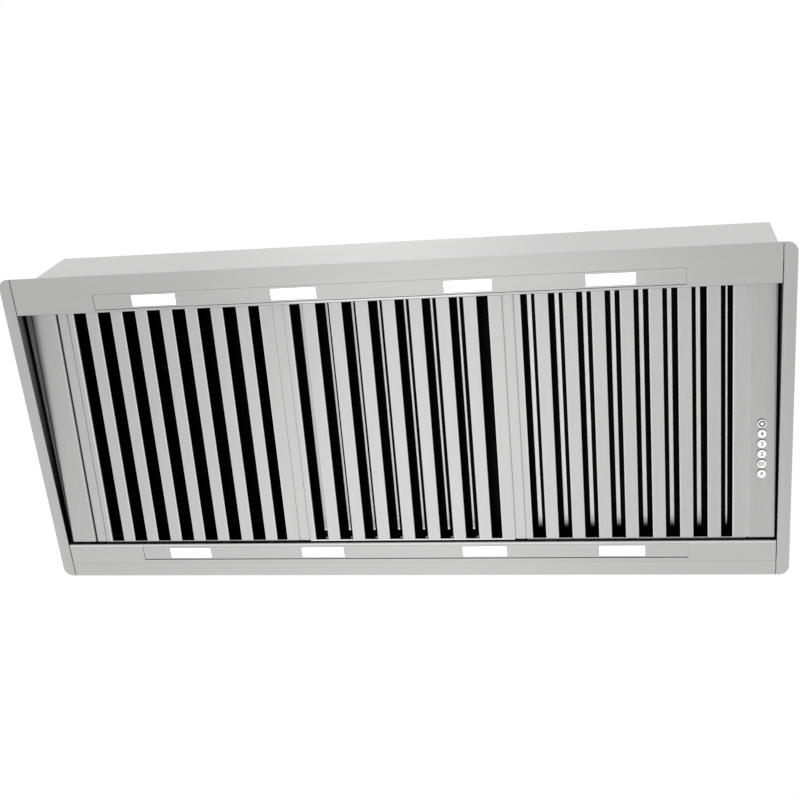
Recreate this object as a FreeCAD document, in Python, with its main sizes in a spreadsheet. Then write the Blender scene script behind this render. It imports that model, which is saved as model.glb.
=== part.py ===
"""Undermount range hood: a stainless flange and housing that fill an opening in a cupboard's floor.

X runs to the right, Y to the back and Z up, as someone at the cooker sees them. The origin is the
middle of the flange's lower face. Lengths are in millimetres and angles in degrees.
"""

import FreeCAD, Part

import math
import os
import re

import Sketcher

QUARTER_TURN = 90
FULL_TURN = 360
BUTTONS = ("timer", "power", "speed_2", "speed_3", "speed_4", "light")

SIZES = {
    # Flange of four strips
    "flange_width": 1200,
    "flange_depth": 530,
    "corner_radius": 15,
    "side_strip": 18.8,
    "cross_strip": 60,
    "seam_gap": 0.6,
    "seam_tab": 8,
    "seam_tab_inset": 2,
    "strip_lip": 12,
    "side_lip": 45,
    # Sheet metal and clearances
    "sheet": 1.2,
    "inside_bend": 0.8,
    "fit_gap": 0.3,
    # Housing
    "housing_inset": 25.5,
    "housing_height": 206,
    "hanger_inset_x": 83.6,
    "hanger_inset_y": 59.5,
    "hanger_hole_radius": 3.5,
    # Beams that carry the rails and panels
    "front_beam_gap": 11,
    "front_beam_level": 24,
    "front_beam_height": 40,
    "rear_beam_level": 18,
    "rear_beam_height": 34,
    # Sloping plane of the filters and panels
    "panel_tilt": 4,
    "panel_rise": 2,
    "rear_gap": 5,
    "left_gap": 7.2,
    "right_gap": 3.2,
    "filler_width": 43,
    "filler_gap": 2.8,
    "control_width": 41.2,
    "panel_wall": 14,
    "panel_bend": 2,
    "cheek_depth": 17,
    "bay_count": 3,
    "rail_width": 16.2,
    "rail_height": 42,
    # Baffle filters
    "filter_sheet": 0.8,
    "filter_height": 38,
    "filter_side_gap": 0.5,
    "filter_front_gap": 3,
    "front_rim": 12,
    "left_rim": 10.1,
    "right_rim": 21.1,
    "gap_count": 8,
    "last_gap": 16.8,
    "slat_width": 20.5,
    "slat_lip": 9,
    "baffle_width": 30,
    "baffle_level": 16,
    "baffle_top": 37,
    "rib_width": 6,
    "rib_depth": 2.2,
    "rib_setback": 1.2,
    "catch_flange": 12,
    "pivot_inset": 7,
    "pivot_level": 4.5,
    "pivot_radius": 2,
    "pivot_reach": 5,
    "running_gap": 0.05,
    "magnet_length": 24,
    "magnet_depth": 10,
    "magnet_height": 8,
    "magnet_spread": 180,
    # Light bars; a light's share is its place along the bar, counted from the middle
    "light_count": 4,
    "bar_length": 897,
    "bar_width": 25.2,
    "bar_setback": 4.4,
    "bar_sheet": 2,
    "bar_gap": 0.3,
    "bar_rear_gap": 0.9,
    "bar_left_gap": 0.8,
    "tray_height": 14,
    "tray_overhang": 8,
    "lens_length": 70.5,
    "lens_width": 17.6,
    "lens_recess": 0.2,
    "lens_rim": 1.8,
    "lens_rim_height": 1.4,
    "front_light_1_share": -0.3906,
    "front_light_2_share": -0.143,
    "front_light_3_share": 0.1513,
    "front_light_4_share": 0.3818,
    "back_light_1_share": -0.407,
    "back_light_2_share": -0.1526,
    "back_light_3_share": 0.1454,
    "back_light_4_share": 0.3871,
    "board_width": 14,
    "board_sheet": 1.6,
    # Push buttons
    "button_radius": 6.6,
    "button_edge": 0.6,
    "button_proud": 3,
    "button_gap": 0.4,
    "button_rear": 110.1,
    "button_travel": 2,
    "collar_rim": 0.7,
    "collar_space": 0.64,
    "collar_height": 1.6,
    "switch_width": 9,
    "switch_height": 6,
    "switch_board_width": 30,
    "switch_board_end": 16,
    "post_radius": 2.5,
    "post_inset": 6,
    # Blower
    "blower_gap": 5.4,
    "wheel_width": 104,
    "wheel_sheet": 1.5,
    "wheel_gap": 6,
    "wheel_side_gap": 7,
    "blade_count": 28,
    "blade_depth": 11,
    "blade_sheet": 0.9,
    "blade_sweep": 12,
    "ring_rim": 0.5,
    "hub_radius": 9,
    "hub_length": 16,
    "scroll_growth": 7,
    "tongue_height": 4.8,
    "inlet_inset": 2,
    "inlet_ring": 6,
    "motor_inset": 10,
    "motor_length": 80,
    "motor_gap": 4,
    "shaft_radius": 4,
    "shaft_seat": 40,
    "shaft_tip": 3,
    "clamp_rim": 3,
    "clamp_length": 10,
    "arm_count": 3,
    "arm_width": 12,
    "arm_sheet": 2,
    "arm_overlap": 8,
    # Duct spigot with its damper flaps
    "spigot_radius": 75,
    "spigot_sheet": 1,
    "spigot_height": 45,
    "spigot_rim": 15,
    "spigot_ledge": 3,
    "flap_level": 18,
    "flap_sheet": 1,
    "flap_gap": 0.8,
    "flap_pin_radius": 1.5,
    "flap_pin_offset": 3,
    "flap_pin_end": 0.4,
    # Electrical pieces under the top
    "box_length": 160,
    "box_depth": 110,
    "box_height": 60,
    "box_sheet": 1.5,
    "box_side_gap": 151.2,
    "box_setback": 124.5,
    "terminal_length": 70,
    "terminal_depth": 22,
    "terminal_height": 18,
    "terminal_offset": 30,
    "driver_length": 150,
    "driver_depth": 46,
    "driver_height": 28,
    "driver_side_gap": 161.2,
    "capacitor_radius": 17,
    "capacitor_length": 70,
    "capacitor_x": -180,
    "gland_radius": 10,
    "gland_head_radius": 14,
    "gland_head_height": 10,
    "gland_depth": 12,
    "gland_bore_radius": 4.5,
    # Screws
    "screw_radius": 1.9,
    "screw_hole_radius": 2,
    "screw_head_radius": 4.2,
    "screw_head_height": 2.4,
    "screw_reach": 2,
    "side_screw_spread": 300,
    "side_screw_level": 33,
    "spigot_screw_inset": 8,
    # Extra length of every cutting tool
    "overrun": 5,
}

doc = FreeCAD.newDocument("range_hood")
sheet = doc.addObject("Spreadsheet::Sheet", "Sizes")
for row, (name, size) in enumerate(SIZES.items(), start=1):
    sheet.set(f"A{row}", name)
    sheet.set(f"B{row}", str(size))
    sheet.setAlias(f"B{row}", name)
doc.recompute()

pieces = []

# Places that several pieces share, as formulas of the sizes above
SEAM_X = "(flange_width / 2 - side_strip)"
INNER_Y = "(flange_depth / 2 - cross_strip)"
WALL_X = f"({SEAM_X} + sheet)"
WALL_Y = "(flange_depth / 2 - housing_inset)"
CEILING = "(housing_height - sheet)"
BAY_START = f"(left_gap + filler_width + filler_gap - {SEAM_X})"
BAY_PITCH = (
    f"((2 * {SEAM_X} - left_gap - filler_width - filler_gap - right_gap - control_width) / bay_count)"
)
FILTER_WIDTH = f"({BAY_PITCH} - rail_width - 2 * filter_side_gap)"
FILTER_LENGTH = f"((2 * {INNER_Y} + front_beam_gap - filter_front_gap) / cos(panel_tilt) - rear_gap)"
PANEL_LENGTH = f"((2 * {INNER_Y} + front_beam_gap - fit_gap) / cos(panel_tilt) - rear_gap)"
GAP_PITCH = f"(({FILTER_WIDTH} - left_rim - right_rim - last_gap) / (gap_count - 1))"
GAP_WIDTH = f"({GAP_PITCH} - slat_width)"
SLAT_LENGTH = f"({FILTER_LENGTH} - filter_sheet - front_rim)"
PIVOT_Y = f"(pivot_inset - rear_gap - {FILTER_LENGTH})"
CONTROL_X = f"({SEAM_X} - right_gap - control_width)"
REAR_BEAM_Y = f"({INNER_Y} - rear_gap * cos(panel_tilt) + rail_height * sin(panel_tilt) + fit_gap)"
BAR_Y = f"({INNER_Y} + bar_setback + bar_width / 2)"
BUTTON_HOLE = "(button_radius + button_gap)"
COLLAR_RADIUS = f"({BUTTON_HOLE} + collar_rim)"
BUTTON_PITCH = f"(2 * {COLLAR_RADIUS} + collar_space)"
SWITCH_LEVEL = "(sheet + 2 * fit_gap + collar_height + button_travel)"
BOARD_LEVEL = f"({SWITCH_LEVEL} + switch_height)"
FILTER_TOP = f"(panel_rise + {INNER_Y} * tan(panel_tilt) + filter_height / cos(panel_tilt))"
SCROLL_ROOM = f"({CEILING} - {FILTER_TOP} - blower_gap)"
SCROLL_START = f"(({SCROLL_ROOM} - tongue_height - scroll_growth - sheet) / 2)"
WHEEL_RADIUS = f"({SCROLL_START} - wheel_gap)"
INLET_RADIUS = f"({WHEEL_RADIUS} - blade_depth - 2 * ring_rim - inlet_inset)"
MOTOR_RADIUS = f"({INLET_RADIUS} - motor_inset)"
SCROLL_WIDTH = "(wheel_width + 2 * wheel_side_gap)"
SCROLL_TOP = f"({SCROLL_START} + tongue_height)"
EXIT_WIDTH = f"({SCROLL_START} + 3 * scroll_growth)"
AXIS_Y = f"(-{EXIT_WIDTH} / 2)"
AXIS_Z = f"({CEILING} - {SCROLL_TOP})"
SPIGOT_BORE = "(spigot_radius - spigot_sheet)"
FLAP_Z = "(housing_height + flap_level)"
BOX_X = f"({SEAM_X} - box_side_gap)"
BOX_Y = f"({WALL_Y} - box_setback)"
DRIVER_X = f"(driver_side_gap - {SEAM_X})"
HANGER_X = f"({WALL_X} + sheet - hanger_inset_x)"
HANGER_Y = f"({WALL_Y} - hanger_inset_y)"


def formula(text):
    """Puts the sheet's name before each size in a formula."""

    def full_name(word):
        return f"Sizes.{word[0]}" if word[0] in SIZES else word[0]

    return re.sub(r"[a-z][a-z0-9_]*", full_name, text)


def value(text):
    """Works out a formula."""
    return float(sheet.evalExpression(formula(text)))


def minus(text):
    """Gives the formula of the opposite place."""
    return f"(-({text}))"


def signed(side, text):
    """Gives a place on the left or front for side -1, and on the right or back for side 1."""
    return minus(text) if side < 0 else text


def bind(thing, **sizes):
    """Ties properties of an object to formulas."""
    for name, text in sizes.items():
        thing.setExpression(name, formula(text))


def place(thing, x="0", y="0", z="0"):
    """Ties an object's place to formulas."""
    for axis, text in zip("xyz", (x, y, z)):
        thing.setExpression(f"Placement.Base.{axis}", formula(text))
    return thing


def lean(thing, x="0"):
    """Lays a piece that was drawn level into the sloping plane, which starts at the back strip."""
    thing.Placement = FreeCAD.Placement(
        FreeCAD.Vector(), FreeCAD.Rotation(FreeCAD.Vector(-1, 0, 0), value("panel_tilt"))
    )
    bind(thing, **{"Placement.Rotation.Angle": "panel_tilt"})
    return place(thing, x, INNER_Y, "panel_rise")


def piece(thing, label):
    """Names an object as one of the hood's sub-parts."""
    thing.Label = label
    pieces.append(thing)
    return thing


def box(x, y, z):
    """Makes a block from the low and high formulas of each axis."""
    block = doc.addObject("Part::Box", "block")
    for size, (low, high) in zip(("Length", "Width", "Height"), (x, y, z)):
        bind(block, **{size: f"({high}) - ({low})"})
    return place(block, x[0], y[0], z[0])


TURNS = {
    "x": FreeCAD.Rotation(FreeCAD.Vector(0, 1, 0), QUARTER_TURN),
    "z": FreeCAD.Rotation(),
}


def rod(axis, x, y, z, radius, length):
    """Makes a cylinder that starts at a place and runs along an axis."""
    round_bar = doc.addObject("Part::Cylinder", "rod")
    round_bar.Placement = FreeCAD.Placement(FreeCAD.Vector(), TURNS[axis])
    bind(round_bar, Radius=radius, Height=length)
    return place(round_bar, x, y, z)


def join(*things):
    """Fuses objects into one solid."""
    union = doc.addObject("Part::MultiFuse", "union")
    union.Shapes = list(things)
    union.Refine = True
    return union


def group(*things):
    """Keeps objects together as separate solids."""
    bundle = doc.addObject("Part::Compound", "group")
    bundle.Links = list(things)
    return bundle


def cut(base, *tools):
    """Takes tools away from a solid."""
    rest = doc.addObject("Part::Cut", "cut")
    rest.Base = base
    rest.Tool = tools[0] if len(tools) == 1 else group(*tools)
    return rest


def body(label):
    """Starts a sub-part made from sketches."""
    return piece(doc.addObject("PartDesign::Body", label), label)


def hold(sketch, kind, *where):
    """Adds a constraint whose last value is a formula."""
    *spot, text = where
    index = sketch.addConstraint(Sketcher.Constraint(kind, *spot, value(text)))
    sketch.setExpression(f"Constraints[{index}]", formula(text))


def hold_point(sketch, edge, end, x, y):
    """Ties one point of an edge to formulas."""
    hold(sketch, "DistanceX", -1, 1, edge, end, x)
    hold(sketch, "DistanceY", -1, 1, edge, end, y)


def draw_line(sketch, start, end):
    """Draws one straight run between two tied points."""
    spots = [FreeCAD.Vector(value(x), value(y), 0) for x, y in (start, end)]
    edge = sketch.addGeometry(Part.LineSegment(*spots))
    hold_point(sketch, edge, 1, *start)
    hold_point(sketch, edge, 2, *end)


def draw_circle(sketch, x, y, radius):
    """Draws a circle."""
    centre = FreeCAD.Vector(value(x), value(y), 0)
    edge = sketch.addGeometry(Part.Circle(centre, FreeCAD.Vector(0, 0, 1), value(radius)))
    hold_point(sketch, edge, 3, x, y)
    hold(sketch, "Radius", edge, radius)


def draw_quarter(sketch, x, y, radius, start_turn):
    """Draws a quarter circle that starts a number of quarter turns after the sketch's first axis."""
    centre = FreeCAD.Vector(value(x), value(y), 0)
    whole = Part.Circle(centre, FreeCAD.Vector(0, 0, 1), value(radius))
    first = math.radians(QUARTER_TURN * start_turn)
    last = math.radians(QUARTER_TURN * (start_turn + 1))
    edge = sketch.addGeometry(Part.ArcOfCircle(whole, first, last))
    hold_point(sketch, edge, 3, x, y)
    hold(sketch, "Radius", edge, radius)
    for end, turn in ((1, start_turn), (2, start_turn + 1)):
        if turn % 2:
            hold(sketch, "DistanceX", -1, 1, edge, end, x)
        else:
            hold(sketch, "DistanceY", -1, 1, edge, end, y)


def draw_polygon(sketch, corners):
    """Draws a closed outline of straight runs at any angle."""
    for start, end in zip(corners, corners[1:] + corners[:1]):
        draw_line(sketch, start, end)


def draw_loop(sketch, corners):
    """Draws a closed outline of level and upright runs, rounded where a corner gives a radius."""
    count = len(corners)
    spots = [FreeCAD.Vector(value(corner[0]), value(corner[1]), 0) for corner in corners]
    radii = [value(corner[2]) if len(corner) > 2 else 0 for corner in corners]
    ways = [(spots[(i + 1) % count] - spots[i]).normalize() for i in range(count)]
    runs = []
    for i in range(count):
        start = spots[i] + ways[i] * radii[i]
        end = spots[(i + 1) % count] - ways[i] * radii[(i + 1) % count]
        runs.append(sketch.addGeometry(Part.LineSegment(start, end)))
        level = abs(ways[i].x) > abs(ways[i].y)
        sketch.addConstraint(Sketcher.Constraint("Horizontal" if level else "Vertical", runs[i]))
        hold(sketch, "DistanceY" if level else "DistanceX", -1, 1, runs[i], 1, corners[i][level])
    for i in range(count):
        if not radii[i]:
            sketch.addConstraint(Sketcher.Constraint("Coincident", runs[i - 1], 2, runs[i], 1))
            continue
        centre = spots[i] + (ways[i] - ways[i - 1]) * radii[i]
        whole = Part.Circle(centre, FreeCAD.Vector(0, 0, 1), radii[i])
        arrive = whole.parameter(spots[i] - ways[i - 1] * radii[i])
        leave = whole.parameter(spots[i] + ways[i] * radii[i])
        left_turn = ways[i - 1].cross(ways[i]).z > 0
        turn = (arrive, leave) if left_turn else (leave, arrive)
        arc = sketch.addGeometry(Part.ArcOfCircle(whole, *turn))
        first, last = (1, 2) if left_turn else (2, 1)
        sketch.addConstraint(Sketcher.Constraint("Tangent", runs[i - 1], 2, arc, first))
        sketch.addConstraint(Sketcher.Constraint("Tangent", arc, last, runs[i], 1))
        hold(sketch, "Radius", arc, corners[i][2])


def draw(owner, role, loops=(), circles=(), polygons=(), offset="0"):
    """Makes a sketch on one of a body's own planes."""
    sketch = owner.newObject("Sketcher::SketchObject", "outline")
    ground = next(flat for flat in owner.Origin.OriginFeatures if flat.Role == role)
    sketch.AttachmentSupport = (ground, [""])
    sketch.MapMode = "FlatFace"
    bind(sketch, **{"AttachmentOffset.Base.z": offset})
    for corners in loops:
        draw_loop(sketch, corners)
    for circle in circles:
        draw_circle(sketch, *circle)
    for corners in polygons:
        draw_polygon(sketch, corners)
    return sketch


def pad(owner, sketch, length, both_ways=False):
    """Grows a sketch into a solid."""
    feature = owner.newObject("PartDesign::Pad", "pad")
    feature.Profile = sketch
    feature.SideType = "Symmetric" if both_ways else "One side"
    bind(feature, Length=length)
    return feature


def pierce(owner, sketch):
    """Cuts a sketch right through a body, both ways, and checks that it met the solid."""
    owner.recompute(True)
    before = owner.Shape.Volume
    feature = owner.newObject("PartDesign::Pocket", "pierce")
    feature.Profile = sketch
    feature.Type = "ThroughAll"
    feature.SideType = "Symmetric"
    owner.recompute(True)
    if owner.Shape.Volume >= before:
        raise ValueError(f"a cut in {owner.Label} met nothing")
    return feature


def rectangle(x, y):
    """Gives the corners of a rectangle from the low and high formulas of two axes."""
    return [(x[0], y[0]), (x[1], y[0]), (x[1], y[1]), (x[0], y[1])]


def channel(x, height, thick, bend, far_height=None):
    """Gives the section of a folded channel that is open at the top and stands on zero."""
    low, high = x
    outer = f"({bend} + {thick})"
    far = far_height or height
    return [
        (low, "0", outer),
        (high, "0", outer),
        (high, far),
        (f"{high} - {thick}", far),
        (f"{high} - {thick}", thick, bend),
        (f"{low} + {thick}", thick, bend),
        (f"{low} + {thick}", height),
        (low, height),
    ]


def side_strip(label, side):
    """Makes a side strip with a lip inside the housing's wall, and tabs that back the seams."""
    strip = body(label)
    outer = signed(side, "flange_width / 2")
    seam = signed(side, SEAM_X)
    front = "-flange_depth / 2"
    back = "flange_depth / 2"
    corners = [(outer, front, "corner_radius"), (seam, front), (seam, back), (outer, back, "corner_radius")]
    pad(strip, draw(strip, "XY_Plane", [corners]), "sheet")
    end = f"({WALL_Y} - sheet)"
    lip = rectangle((seam, signed(side, WALL_X)), (minus(end), end))
    pad(strip, draw(strip, "XY_Plane", [lip]), "side_lip")
    across = (signed(side, f"{SEAM_X} - seam_tab"), signed(side, f"{SEAM_X} + seam_tab"))
    near = f"({WALL_Y} + fit_gap)"
    far = "(flange_depth / 2 - seam_tab_inset)"
    tabs = [rectangle(across, (minus(far), minus(near))), rectangle(across, (near, far))]
    pad(strip, draw(strip, "XY_Plane", tabs, offset="sheet"), "sheet")
    return strip


def cross_strip(label, side):
    """Makes the front or back strip, folded up at its inner edge and slotted for a light bar."""
    strip = body(label)
    outer = signed(side, "flange_depth / 2")
    inner = signed(side, INNER_Y)
    lip = signed(side, f"{INNER_Y} + sheet")
    section = [
        (outer, "0"),
        (inner, "0", "inside_bend + sheet"),
        (inner, "strip_lip"),
        (lip, "strip_lip"),
        (lip, "sheet", "inside_bend"),
        (outer, "sheet"),
    ]
    pad(strip, draw(strip, "YZ_Plane", [section]), f"2 * ({SEAM_X} - seam_gap)", both_ways=True)
    half = "(bar_width / 2)"
    middle = signed(side, BAR_Y)
    slot = rectangle(("-bar_length / 2", "bar_length / 2"), (f"{middle} - {half}", f"{middle} + {half}"))
    pierce(strip, draw(strip, "XY_Plane", [slot]))
    return strip


def drilled(label, base, *tools):
    """Names a solid with holes as a sub-part in place of the solid that it was cut from."""
    if base in pieces:
        pieces.remove(base)
        base.Label = f"{label}_blank"
    return piece(cut(base, *tools), label)


def side_screw_places():
    """Gives the places of the screws through the housing's sides, from front to back."""
    return ["-side_screw_spread / 2", "0", "side_screw_spread / 2"]


def side_screw_holes(side):
    """Makes the drills for the screws through one side."""
    start = signed(side, f"{SEAM_X} - overrun")
    start = start if side > 0 else minus(f"{WALL_X} + overrun")
    length = "sheet + 2 * overrun"
    places = side_screw_places()
    return [rod("x", start, y, "side_screw_level", "screw_hole_radius", length) for y in places]


def make_flange():
    """Makes the four strips."""
    for label, side in (("flange_left", -1), ("flange_right", 1)):
        drilled(label, side_strip(label, side), *side_screw_holes(side))
    cross_strip("flange_front", -1)
    cross_strip("flange_back", 1)


def make_housing():
    """Makes the box above the flange from five plates."""
    outside = f"({WALL_X} + sheet)"
    inside = f"({WALL_Y} - sheet)"
    rise = ("sheet", CEILING)
    for label, side in (("housing_front", -1), ("housing_back", 1)):
        low = minus(WALL_Y) if side < 0 else inside
        wall = box((minus(outside), outside), (low, f"{low} + sheet"), rise)
        piece(wall, label)
    for label, side in (("housing_left", -1), ("housing_right", 1)):
        low = minus(outside) if side < 0 else WALL_X
        wall = box((low, f"{low} + sheet"), (minus(inside), inside), rise)
        drilled(label, wall, *side_screw_holes(side))
    top = box((minus(outside), outside), (minus(WALL_Y), WALL_Y), (CEILING, "housing_height"))
    drill_start = f"({CEILING} - overrun)"
    drill_length = "sheet + 2 * overrun"
    exit_x = f"({SCROLL_WIDTH} / 2)"
    exit_y = f"({EXIT_WIDTH} / 2)"
    exit_z = (drill_start, "housing_height + overrun")
    tools = [box((minus(exit_x), exit_x), (minus(exit_y), exit_y), exit_z)]
    for x in (minus(HANGER_X), HANGER_X):
        for y in (minus(HANGER_Y), HANGER_Y):
            tools.append(rod("z", x, y, drill_start, "hanger_hole_radius", drill_length))
    for x, y in spigot_screw_places():
        tools.append(rod("z", x, y, drill_start, "screw_hole_radius", drill_length))
    tools.append(rod("z", BOX_X, BOX_Y, drill_start, "gland_radius", drill_length))
    drilled("housing_top", top, *tools)


def beam(label, wall, face, level, height):
    """Makes a folded beam that stands off a wall and shows its web to the rails."""
    part = body(label)
    inward = "sheet" if label == "front_beam" else "-sheet"
    top = f"({level} + {height})"
    section = [
        (wall, level),
        (face, level),
        (face, top),
        (wall, top),
        (wall, f"{top} - sheet"),
        (f"{face} - {inward}", f"{top} - sheet"),
        (f"{face} - {inward}", f"{level} + sheet"),
        (wall, f"{level} + sheet"),
    ]
    pad(part, draw(part, "YZ_Plane", [section]), f"2 * ({SEAM_X} - fit_gap)", both_ways=True)


def make_beams():
    """Makes the front and rear beams."""
    wall = f"({WALL_Y} - sheet)"
    front_face = minus(f"{INNER_Y} + front_beam_gap")
    beam("front_beam", minus(wall), front_face, "front_beam_level", "front_beam_height")
    beam("rear_beam", wall, REAR_BEAM_Y, "rear_beam_level", "rear_beam_height")


def make_rails():
    """Makes the channel rail at the left of each filter bay."""
    rails = body("filter_rails")
    section = channel(("0", "rail_width"), "rail_height", "sheet", "inside_bend")
    sketch = draw(rails, "XZ_Plane", [section], offset="rear_gap")
    first = pad(rails, sketch, PANEL_LENGTH)
    spread(rails, first, sketch, BAY_PITCH, "bay_count")
    lean(rails, BAY_START)


def spread(owner, feature, sketch, pitch, count):
    """Repeats a feature along the sketch's first axis."""
    doc.recompute()
    row = owner.newObject("PartDesign::LinearPattern", "row")
    row.Originals = feature if isinstance(feature, list) else [feature]
    row.Direction = (sketch, ["H_Axis"])
    row.Mode = "Spacing"
    bind(row, Offset=pitch, Occurrences=count)
    owner.Tip = row
    return row


def cheek_outline():
    """Gives the outline of the filler panel's cheek, which deepens from the back to the front."""
    rear = "(-rear_gap)"
    front = f"(-(2 * {INNER_Y} - fit_gap) / cos(panel_tilt))"
    root = "(panel_bend + sheet)"
    return [(rear, root), (rear, "0"), (front, "-cheek_depth"), (front, root)]


def make_panels():
    """Makes the filler panel at the left and the control panel at the right."""
    for label, width, x in (
        ("filler_panel", "filler_width", f"(left_gap - {SEAM_X})"),
        ("control_panel", "control_width", CONTROL_X),
    ):
        panel = body(label)
        section = channel(("0", width), "panel_wall", "sheet", "panel_bend")
        pad(panel, draw(panel, "XZ_Plane", [section], offset="rear_gap"), PANEL_LENGTH)
        if label == "filler_panel":
            pad(panel, draw(panel, "YZ_Plane", polygons=[cheek_outline()]), "sheet")
        else:
            holes = [(f"{width} / 2", button_y(index), BUTTON_HOLE) for index in range(len(BUTTONS))]
            pierce(panel, draw(panel, "XY_Plane", circles=holes))
        lean(panel, x)


def button_y(index):
    """Gives a button's place along the slope, counted from the back."""
    return f"(-(button_rear + {index} * {BUTTON_PITCH}))"


def make_buttons():
    """Makes the six buttons, each a bevelled cap with a collar that stops behind the panel."""
    middle = "(control_width / 2)"
    for index, use in enumerate(BUTTONS):
        y = button_y(index)
        tip = doc.addObject("Part::Cone", "bevel")
        bind(tip, Radius1="button_radius - button_edge", Radius2="button_radius", Height="button_edge")
        place(tip, middle, y, "-button_proud")
        collar_level = "(sheet + fit_gap)"
        stem = rod("z", middle, y, "button_edge - button_proud", "button_radius",
                   f"{collar_level} + button_proud - button_edge")
        collar = rod("z", middle, y, collar_level, COLLAR_RADIUS, "collar_height")
        lean(piece(join(tip, stem, collar), f"button_{use}"), CONTROL_X)


def make_switches():
    """Makes the switch board with its posts, and the switches that the buttons press."""
    middle = "(control_width / 2)"
    half = "(switch_board_width / 2)"
    rear = "(switch_board_end - button_rear)"
    front = f"({button_y(len(BUTTONS) - 1)} - switch_board_end)"
    across = (f"{middle} - {half}", f"{middle} + {half}")
    board = box(across, (front, rear), (BOARD_LEVEL, f"{BOARD_LEVEL} + board_sheet"))
    posts = []
    for x in (f"{middle} - {half} + post_inset", f"{middle} + {half} - post_inset"):
        for y in (f"{front} + post_inset", f"{rear} - post_inset"):
            posts.append(rod("z", x, y, "sheet", "post_radius", f"{BOARD_LEVEL} - sheet"))
    lean(piece(join(board, *posts), "switch_board"), CONTROL_X)
    span = "(switch_width / 2)"
    switches = []
    for index in range(len(BUTTONS)):
        y = button_y(index)
        along = (f"{y} - {span}", f"{y} + {span}")
        across = (f"{middle} - {span}", f"{middle} + {span}")
        switches.append(box(across, along, (SWITCH_LEVEL, BOARD_LEVEL)))
    lean(piece(group(*switches), "switches"), CONTROL_X)


def filter_frame(label, x):
    """Makes a filter's frame, with the holes that hang it on its pivots."""
    frame = body(label)
    width = FILTER_WIDTH
    right_span = (f"({width} - right_rim)", width)
    left = channel(("0", "left_rim"), "filter_height", "filter_sheet", "inside_bend", "slat_lip")
    right = channel(right_span, "slat_lip", "filter_sheet", "inside_bend", "filter_height")
    pad(frame, draw(frame, "XZ_Plane", [left, right], offset="rear_gap"), FILTER_LENGTH)
    whole = rectangle(("0", width), ("0", "filter_height"))
    pad(frame, draw(frame, "XZ_Plane", [whole], offset="rear_gap"), "filter_sheet")
    flange = rectangle(("0", width), ("filter_height - filter_sheet", "filter_height"))
    pad(frame, draw(frame, "XZ_Plane", [flange], offset="rear_gap"), "catch_flange")
    front = f"(rear_gap + {FILTER_LENGTH})"
    floor = rectangle(("0", width), ("0", "filter_sheet"))
    pad(frame, draw(frame, "XZ_Plane", [floor], offset=f"{front} - front_rim"), "front_rim")
    pad(frame, draw(frame, "XZ_Plane", [whole], offset=f"{front} - filter_sheet"), "filter_sheet")
    hole = (PIVOT_Y, "pivot_level", "pivot_radius + running_gap")
    pierce(frame, draw(frame, "YZ_Plane", circles=[hole]))
    lean(frame, x)


def filter_slats(label, x):
    """Makes the channel slats between a filter's gaps."""
    slats = body(label)
    start = f"(left_rim + {GAP_WIDTH})"
    section = channel((start, f"({start} + slat_width)"), "slat_lip", "filter_sheet", "inside_bend")
    sketch = draw(slats, "XZ_Plane", [section], offset="rear_gap + filter_sheet")
    spread(slats, pad(slats, sketch, SLAT_LENGTH), sketch, GAP_PITCH, "gap_count - 1")
    lean(slats, x)


def baffle_section(low, high):
    """Gives the section of an upper baffle, open at the bottom."""
    inner_low = f"{low} + filter_sheet"
    inner_high = f"{high} - filter_sheet"
    under = "baffle_top - filter_sheet"
    outer = "inside_bend + filter_sheet"
    return [
        (low, "baffle_level"),
        (inner_low, "baffle_level"),
        (inner_low, under, "inside_bend"),
        (inner_high, under, "inside_bend"),
        (inner_high, "baffle_level"),
        (high, "baffle_level"),
        (high, "baffle_top", outer),
        (low, "baffle_top", outer),
    ]


def baffle_rib(owner, middle):
    """Presses a rib into the underside of an upper baffle."""
    half = "(rib_width / 2)"
    across = (f"{middle} - {half}", f"{middle} + {half}")
    rear = "(-rear_gap - filter_sheet)"
    along = (f"({rear} - {SLAT_LENGTH})", f"{rear} - rib_setback")
    level = "baffle_top - filter_sheet - rib_depth"
    return pad(owner, draw(owner, "XY_Plane", [rectangle(across, along)], offset=level), "rib_depth")


def filter_baffles(label, x):
    """Makes the upper baffles that roof a filter's gaps; the last gap has a width of its own."""
    baffles = body(label)
    middle = f"(left_rim + {GAP_WIDTH} / 2)"
    half = "(baffle_width / 2)"
    sketch = draw(
        baffles, "XZ_Plane", [baffle_section(f"({middle} - {half})", f"({middle} + {half})")],
        offset="rear_gap + filter_sheet",
    )
    first = pad(baffles, sketch, SLAT_LENGTH)
    rib = baffle_rib(baffles, middle)
    spread(baffles, [first, rib], sketch, GAP_PITCH, "gap_count - 1")
    last = f"({FILTER_WIDTH} - right_rim - last_gap / 2)"
    section = baffle_section(f"({last} - {half})", f"({last} + {half})")
    pad(baffles, draw(baffles, "XZ_Plane", [section], offset="rear_gap + filter_sheet"), SLAT_LENGTH)
    baffle_rib(baffles, last)
    lean(baffles, x)


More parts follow.
